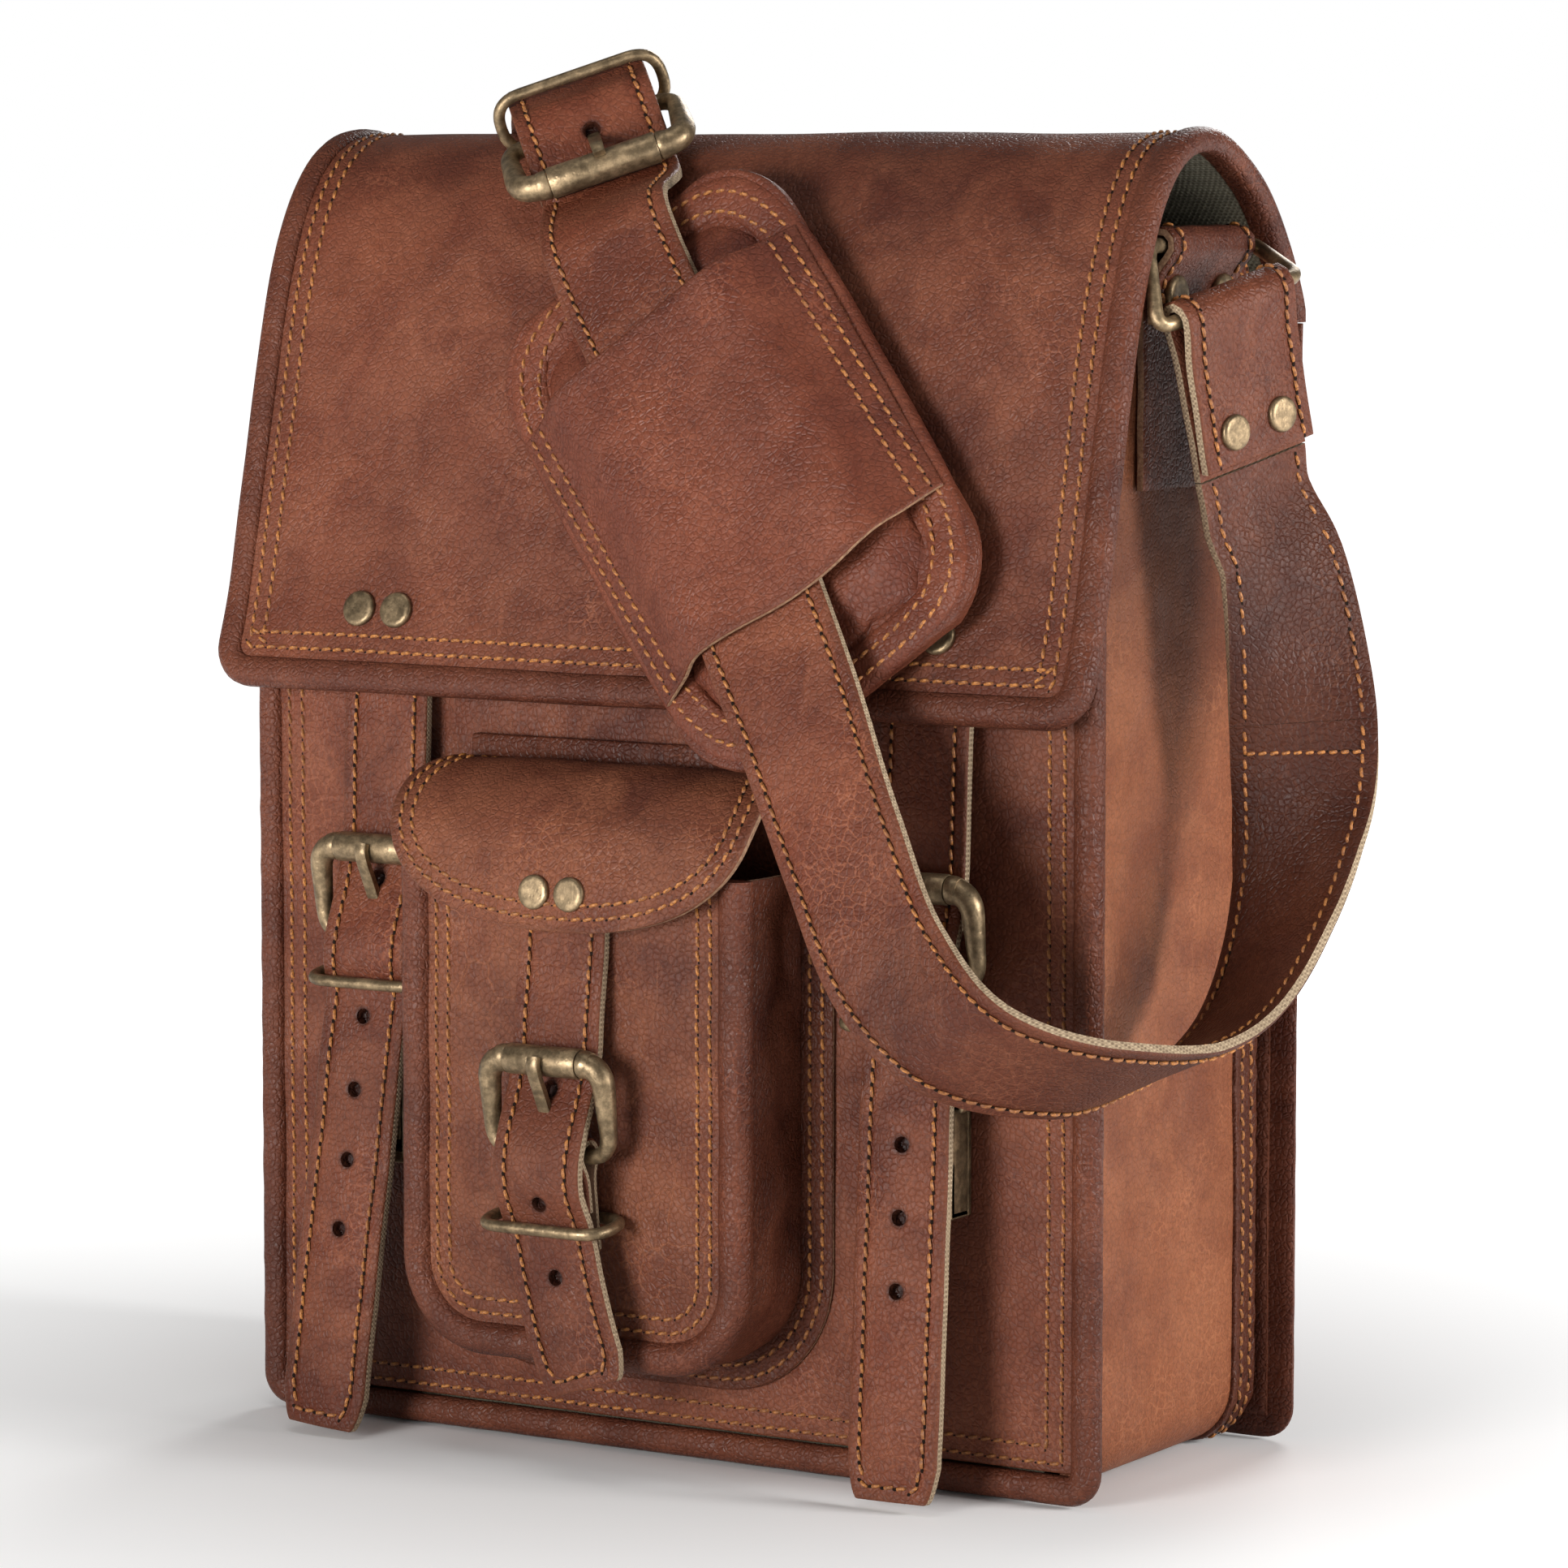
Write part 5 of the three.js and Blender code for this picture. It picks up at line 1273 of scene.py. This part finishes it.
def side_route(place):
    w = -place.axes[0]
    end, following, across = STRAP_ENDS["left"]
    r = 2.5 + 0.3 + 1.1
    wrap = [(place(0, r * math.sin(t), r * math.cos(t)), w) for t in np.linspace(0, math.pi, 7)[1:]]
    return [
        (end, across), (following, across), ((-141, 4, 219), (0.3, 0.95, 0)), ((-149, 14, 213), (0.6, 0.8, 0)),
        ((-156, 25, 222), (0.4, 0.9, 0)), ((-159, 32, 248), (0.2, 0.97, 0)), ((-158, 38, 275), (0.15, 0.95, -0.2)),
        ((-151, 42.5, 295), (0.1, 0.7, -0.6)), ((-139, 44.6, 303.6), (0.05, 0.5, -0.8)), ((-126, 45, 303.8), (0, 0.55, -0.83)),
        ((-110, 43.4, 305.4), (0.2, 0.55, -0.8)), ((-92, 38, 312), (0.45, 0.58, -0.65)), ((-77, 28, 321), (0.66, 0.58, -0.45)),
        ((-68, 16, 328.8), (0.8, 0.56, -0.15)), ((-58.5, 2, 334), (0.87, 0.45, 0.05)), (place(0, -14, 1.5), w),
        (place(0, -6, 1.9), w), (place(0, -1.5, 4), w), *wrap, (place(0, -6, -2.6), w), (place(0, -13, -2), w),
    ]


def both_sides(shape, surface, thickness, start, stop, half):
    """Stitch rows along the other face of a strap."""
    other = Surface(surface.line, -surface.side, relief=lambda a, b, p: thickness / 2 + 0 * a)
    for a in (-half + 3.7, half - 3.7):
        shape.stitch(other, [(a, start + 1), (a, stop - 1)])


def strap_run(name, surface, width, thickness, start, stop, body, nodes, seam=None, **extra):
    shape = strap_piece(surface, width, thickness, start, stop, looks=("strap", "strap", "weave"), **extra)
    if seam is not None:
        other = Surface(surface.line, -surface.side, relief=lambda a, b, p: thickness / 2 + 0 * a)
        for face in (surface, other):
            shape.stitch(face, [(-width / 2 + 3.7, seam), (width / 2 - 3.7, seam)], pitch=2.8)
    both_sides(shape, surface, thickness, start, stop, width / 2)
    return shape.finish(name, body, nodes, "leather")


def drops(name, surface, width, thickness, near, far, ring, from_end, tone=None):
    """Three short lengths in a row, each given a pair of bodies from the ring's body to the body, the flap and the
    strap; finish leaves each length in place, on no body.
    """
    marks = np.linspace(near, far, 4)
    bodies = [("strap", "flap"), ("flap", "body"), ("body", ring)]
    if from_end:
        bodies = [(b, a) for a, b in bodies[::-1]]
    for i in range(3):
        low, high = marks[i], marks[i + 1]
        start, end = (surface.place(0.0, v)[0] for v in (low, high))
        first, second = bodies[i]
        label = f"{name}_{i + 1}"
        strap_run(label, surface, width, thickness, low, high, (first, second, start, end), [name] if i == 1 else [],
                  tone=tone, runs_on=(True, True))


def shoulder_strap():
    place = shoulder_place()
    spec = (22.6, 22, 2.5, 28.5, (-9.5, 21.5, -5.8, 10))
    buckle("shoulder", "strap", place, *spec)
    u = np.linspace(0, 1, 2600)

    surface = ribbon(long_route(place), relief=lambda a, b, p: LEATHER / 2 + 0.35 * wobble(p, 43, 0.9) * 0.6, samples=2600)
    cut = float(np.interp(1 - DROP_SHARE, u, surface.arc))
    tongue = nearest(surface, place(0, 8.0, 2.4))
    holes = [(0.0, tongue, 2.3)]
    low_turn = nearest(surface, (118, -101, 118))
    rising = nearest(surface, (151, -9, 137.5))

    def tone(b):
        return np.interp(b, [low_turn - 70, low_turn, rising, cut + 30, cut + 60], [0.0, 0.42, 0.76, 0.74, 0.4])

    strap_run("shoulder_strap_long", surface, STRAP_W, LEATHER, 0, cut - 0.1, "strap", ["long_strap"], holes=holes, tone=tone,
              runs_on=(False, True), seam=nearest(surface, (150, 6, 180)))
    drops("strap_drop_right", surface, STRAP_W, LEATHER, cut, surface.length - 0.1, "ring_right", False, tone)

    surface = ribbon(side_route(place), relief=lambda a, b, p: 1.1 + 0 * a, samples=2600)
    if np.dot(surface.normal[1700], (0, 0, 1)) < 0:
        surface = Surface(surface.line, -surface.side, surface.relief)
    cut = float(np.interp(SIDE_SHARE, u, surface.arc))
    eye = nearest(surface, place(0, 3.9, 0.5))
    strap_run("shoulder_strap_short", surface, STRAP_W - 2, 2.2, cut + 0.1, surface.length, "strap", ["buckle_strap"],
              holes=[(0.0, eye, 2.6)], runs_on=(True, False))
    drops("strap_drop_left", surface, STRAP_W - 2, 2.2, 0.1, cut, "ring_left", True)


# ---- Shoulder pad ----
def pad_place():
    lean, turn = math.pi / 2 - math.atan(0.25), 0.68
    x = np.array([math.cos(turn), math.sin(turn) * math.cos(lean), math.sin(turn) * math.sin(lean)])
    y = np.array([-math.sin(turn), math.cos(turn) * math.cos(lean), math.cos(turn) * math.sin(lean)])
    return Place((27.3, -56.9, 248.6), x, y, np.cross(x, y))


def superellipse(half_x, half_y, power, count):
    t = np.linspace(0, 2 * math.pi, count, endpoint=False)
    c, s = np.cos(t), np.sin(t)
    return np.stack([half_x * np.sign(c) * np.abs(c) ** (2 / power), half_y * np.sign(s) * np.abs(s) ** (2 / power)], -1)


def pillow(place):
    """The padding under the face, blown up by cloth simulation from a flatter start."""
    rings = []
    for z, size in ((-1.0, 0.93), (0.2, 1.0), (2.2, 1.0), (3.4, 0.93), (3.6, 0.6), (3.6, 0.2)):
        outline = superellipse(38.5 * size, 61 * size, 5.5, 72)
        rings.append(place.all(np.column_stack([outline, np.full(72, z)])))
    shape = Shape().sweep(None, rings, "pad", closed=False)
    obj = shape.finish("pad_filling", None, [], "darkLeather")
    puff(obj, place, 3.6)
    smooth = obj.modifiers.new("smooth", "SUBSURF")
    smooth.levels = smooth.render_levels = 1
    apply_modifiers(obj)
    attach(obj, "pad")


def apply_modifiers(obj):
    evaluated = obj.evaluated_get(bpy.context.evaluated_depsgraph_get())
    mesh = bpy.data.meshes.new_from_object(evaluated)
    obj.modifiers.clear()
    mesh.shade_smooth()
    obj.data = mesh


def puff(obj, place, cap):
    """Remeshes the object, lets Blender's cloth blow it up and caps how far each point moves."""
    remesh = obj.modifiers.new("remesh", "REMESH")
    remesh.mode = "VOXEL"
    remesh.voxel_size = 0.003
    apply_modifiers(obj)
    before = np.array([v.co for v in obj.data.vertices])
    cloth = obj.modifiers.new("cloth", "CLOTH")
    cloth.settings.use_pressure = True
    cloth.settings.uniform_pressure_force = 4.0
    cloth.settings.effector_weights.gravity = 0.0
    scene = bpy.context.scene
    for number in range(1, 21):
        scene.frame_set(number)
    moved = obj.evaluated_get(bpy.context.evaluated_depsgraph_get())
    after = np.array([v.co for v in moved.data.vertices])
    shift = after - before
    long = np.linalg.norm(shift, axis=1, keepdims=True)
    after = before + shift * np.minimum(1.0, cap * MM / np.maximum(long, 1e-9))
    # It stays above the base plate and under the strap.
    local = (after / MM - place.origin) @ place.axes.T
    local[:, 2] = np.clip(local[:, 2], -1.5, 7.4)
    local[:, 0] = np.clip(local[:, 0], -39.5, 39.5)
    local[:, 1] = np.clip(local[:, 1], -62.5, 62.5)
    after = place.all(local) * MM
    obj.modifiers.clear()
    obj.data.vertices.foreach_set("co", after.ravel())
    obj.data.update()
    scene.frame_set(1)


def pad():
    place = pad_place()
    half_x, half_y = 48.0, 70.5

    # The base with its folded, stitched border.
    def border_relief(a, b, p):
        return 0.9 + 0.35 * wobble(p, 26, 2.0) + 0.2 * wobble(p, 13, 1.0)

    line = [place(0, y, 1.4) for y in np.linspace(-half_y, half_y, 200)]
    surface = Surface(line, -place.axes[0], relief=border_relief)
    if np.dot(surface.normal[0], place.axes[2]) < 0:
        surface = Surface(line, place.axes[0], relief=border_relief)
    corner = 23.0

    def span(b):
        beyond = max(0.0, corner - min(b, 2 * half_y - b)) / corner
        return (half_x - 2 - corner + corner * math.sqrt(max(0.0, 1 - beyond**2))) / (half_x - 2)

    bend = corner * (1 - np.cos(np.linspace(0, math.pi / 2, 12)))
    along = np.concatenate([bend + 1.0, lines(corner + 2, 2 * half_y - corner - 2, 2.4), 2 * half_y - 1.0 - bend[::-1]])
    shape = Shape()
    shape.sheet(surface, lines(-half_x + 2, half_x - 2, 2.4), along, 3.6, ("pad", "pad", "pad"), span=span, crown=0.8)
    outline = superellipse(half_x - 0.7, half_y - 0.7, 4.6, 220)
    ab = np.column_stack([-outline[:, 0], outline[:, 1] + half_y]) if np.dot(surface.side[0], place.axes[0]) < 0 else (
        np.column_stack([outline[:, 0], outline[:, 1] + half_y]))
    roll = [(11.5, -0.2), (10.9, 0.65), (9.6, 0.95), (6.0, 0.9), (3.0, 0.95), (1.3, 0.5), (0.3, -0.6), (0.2, -2.3), (1.4, -3.7), (3.2, -4.2), (11.5, -4.0)]
    ab = ab if turns_inward(surface, ab) else ab[::-1]
    shape.trim(surface, ab, roll, "pad", closed=True)
    for inset in (3.8, 8.2):
        size = superellipse(half_x - inset, half_y - inset, 4.2, 220)
        shape.stitch(surface, np.column_stack([size[:, 0], size[:, 1] + half_y]), closed=True, height=1.0)
    base = shape.finish("pad_base", "pad", [], "darkLeather")
    pillow(place)

    # The sleeve over the middle, with a wavy cut lower edge.
    route = [(-45, 4.0), (-36, 8.4), (-27, 14.4), (0, 15.0), (27, 14.4), (36, 8.4), (45, 4.0)]
    sleeve = ribbon([(place(x, 0, z), place.axes[1]) for x, z in route], relief=lambda a, b, p: 0.25 * wobble(p, 27, 2.4))
    if np.dot(sleeve.normal[450], place.axes[2]) < 0:
        sleeve = Surface(sleeve.line, -sleeve.side, sleeve.relief)
    shape = Shape()
    wavy = Wavy(sleeve)
    shape.sheet(wavy, lines(-41, 41, 2.4), lines(0, sleeve.length, 2.2), 1.7, ("pad", "suede", "raw"), crown=0.3)
    for b in (3.0, 7.4, sleeve.length - 7.4, sleeve.length - 3.0):
        shape.stitch(wavy, [(-40, b), (40, b)])
    shape.finish("pad_sleeve", "pad", ["pad"], "darkLeather")
    return base


def turns_inward(surface, ab):
    """Whether normal x travel points to the inside of a closed outline."""
    point, normal = surface.place(ab[:, 0], ab[:, 1])
    ahead = unit(np.roll(point, -1, axis=0) - point)
    inward = np.cross(normal, ahead)
    return np.mean(np.sum(inward * (point.mean(axis=0) - point), -1)) > 0


class Wavy:
    """A surface whose edge towards the pad's lower end is cut in a shallow wave."""

    def __init__(self, surface):
        self.surface = surface
        self.sign = 1.0 if np.dot(surface.side[450], pad_place().axes[1]) > 0 else -1.0

    def place(self, a, b):
        a, b = np.broadcast_arrays(np.asarray(a, float), np.asarray(b, float))
        low = np.clip((-a * self.sign + 41) / 82, 0, 1)
        wave = 2.4 * np.sin(b / self.surface.length * 2.2 * math.pi + 0.6) - 1.2
        return self.surface.place(a - self.sign * wave * low**2 * -1, b)


# ---- Canvas bag inside ----
def lining():
    half, low, high, radius = 113.2, 4.8, 217.0, 13.5
    arc = [(half - radius + radius * math.sin(t), low + radius - radius * math.cos(t)) for t in np.linspace(math.pi / 2, 0, 9)]
    right = [(half, high), (half, (high + low) / 2)] + arc
    route = [(-x, z) for x, z in right] + [(0, low)] + right[::-1]
    front, back = FRONT_Y + LEATHER + 1.6, BACK_Y - LEATHER - 1.6
    middle, reach = (front + back) / 2, (back - front) / 2
    wall = profile([(x, middle, z) for x, z in route], (0, -1, 0), samples=700, smooth=False)
    shape = Shape()
    shape.sheet(wall, lines(-reach, reach, 4), lines(0, wall.length, 4), 0.8, ("canvas", "canvas", "canvas"), crown=0.1)
    for y, turn in ((front, 1), (back, -1)):
        side = profile([(0, y, high), (0, y, low + 0.3)], (turn, 0, 0), smooth=False,
                       relief=lambda a, b, p: 0.15 * wobble(p, 40, 2))
        shape.sheet(side, lines(-half, half, 4), lines(0, side.length, 4), 0.8, ("canvas", "canvas", "canvas"),
                    span=lambda b: corner_share(b, half, high - low, radius), crown=0.1)
        shape.stitch(side, [(-half + 4, 5), (half - 4, 5)])
    shape.finish("canvas_lining", "body", ["lining"], "canvas")


# ---- Camera, light and floor ----
def from_angle(azimuth, elevation, distance, target):
    a, e = math.radians(azimuth), math.radians(elevation)
    return Vector(target) + Vector((math.sin(a) * math.cos(e), -math.cos(a) * math.cos(e), math.sin(e))) * distance


def area_light(name, azimuth, elevation, distance, size, power, colour=(1, 1, 1)):
    data = bpy.data.lights.new(name, "AREA")
    data.shape, data.size, data.energy, data.color = "DISK", size, power, colour
    light = bpy.data.objects.new(name, data)
    target = Vector((0, 0, 0.15))
    light.location = from_angle(azimuth, elevation, distance, target)
    light.rotation_euler = (target - light.location).to_track_quat("-Z", "Y").to_euler()
    bpy.context.scene.collection.objects.link(light)


def studio():
    scene = bpy.context.scene
    data = bpy.data.cameras.new("camera")
    data.lens, data.sensor_width = CAMERA["lens"], 36.0
    camera = bpy.data.objects.new("camera", data)
    target = Vector(CAMERA["target"])
    camera.location = from_angle(CAMERA["azimuth"], CAMERA["elevation"], CAMERA["distance"], target)
    camera.rotation_euler = (target - camera.location).to_track_quat("-Z", "Y").to_euler()
    scene.collection.objects.link(camera)
    scene.camera = camera

    world = bpy.data.worlds.new("studio")
    world.use_nodes = True
    background = world.node_tree.nodes["Background"]
    background.inputs["Strength"].default_value = AMBIENT
    background.inputs["Color"].default_value = (1, 0.99, 0.98, 1)
    scene.world = world
    scene.view_settings.view_transform = "Standard"
    for name, azimuth, elevation, distance, size, power in LIGHTS:
        area_light(name, azimuth, elevation, distance, size, power)

    reach = 30.0
    floor = staged_mesh("floor", [(-reach, -reach, 0), (reach, -reach, 0), (reach, reach, 0), (-reach, reach, 0)], [(0, 1, 2, 3)])
    floor.location.z = -0.0006
    floor.data.materials.append(pale("floor", (0.1, 0.75), 0.9))

    # A far white shell that only the camera sees, so that the background stays white and lights nothing.
    rings, around = 12, 32
    points = [
        (math.cos(a) * math.cos(e) * 20, math.sin(a) * math.cos(e) * 20, math.sin(e) * 20)
        for e in np.linspace(-0.6, math.pi / 2 - 0.01, rings) for a in np.linspace(0, 2 * math.pi, around, endpoint=False)
    ]
    faces = [(r * around + k, r * around + (k + 1) % around, (r + 1) * around + (k + 1) % around, (r + 1) * around + k)
             for r in range(rings - 1) for k in range(around)]
    shell = staged_mesh("backdrop", points, faces)
    shell.data.materials.append(pale("backdrop", (-2.0, -1.0), 0.0))
    for ray in ("diffuse", "glossy", "shadow", "transmission", "volume_scatter"):
        setattr(shell, "visible_" + ray, False)


def pale(name, fade, albedo):
    """White that glows from a distance of fade[1] metres outwards and not at all inside fade[0]."""
    look = Nodes(name)
    away = look.node("VectorMath", {0: look.coords}, operation="LENGTH").outputs["Value"]
    glow = look.ramp(away, fade[0], fade[1])
    tone = look.mix(look.noise(2.0), (albedo, albedo, albedo), (albedo * 0.98, albedo * 0.98, albedo * 0.97))
    return look.set(Base_Color=tone, Roughness=0.95, Specular_IOR_Level=0.0, Emission_Color=(1, 1, 1, 1), Emission_Strength=glow)


def staged_mesh(name, points, faces):
    mesh = bpy.data.meshes.new(name)
    mesh.from_pydata(points, [], faces)
    obj = bpy.data.objects.new(name, mesh)
    bpy.context.scene.collection.objects.link(obj)
    return obj


studio()
front_panel()
front_binding()
back_panel()
gusset()
lining()
flap()
flap_rivets()
pocket()
pocket_flap()
closures()
pocket_closure_strap()
small_buckles()
locks()
rings()
shoulder_strap()
pad()
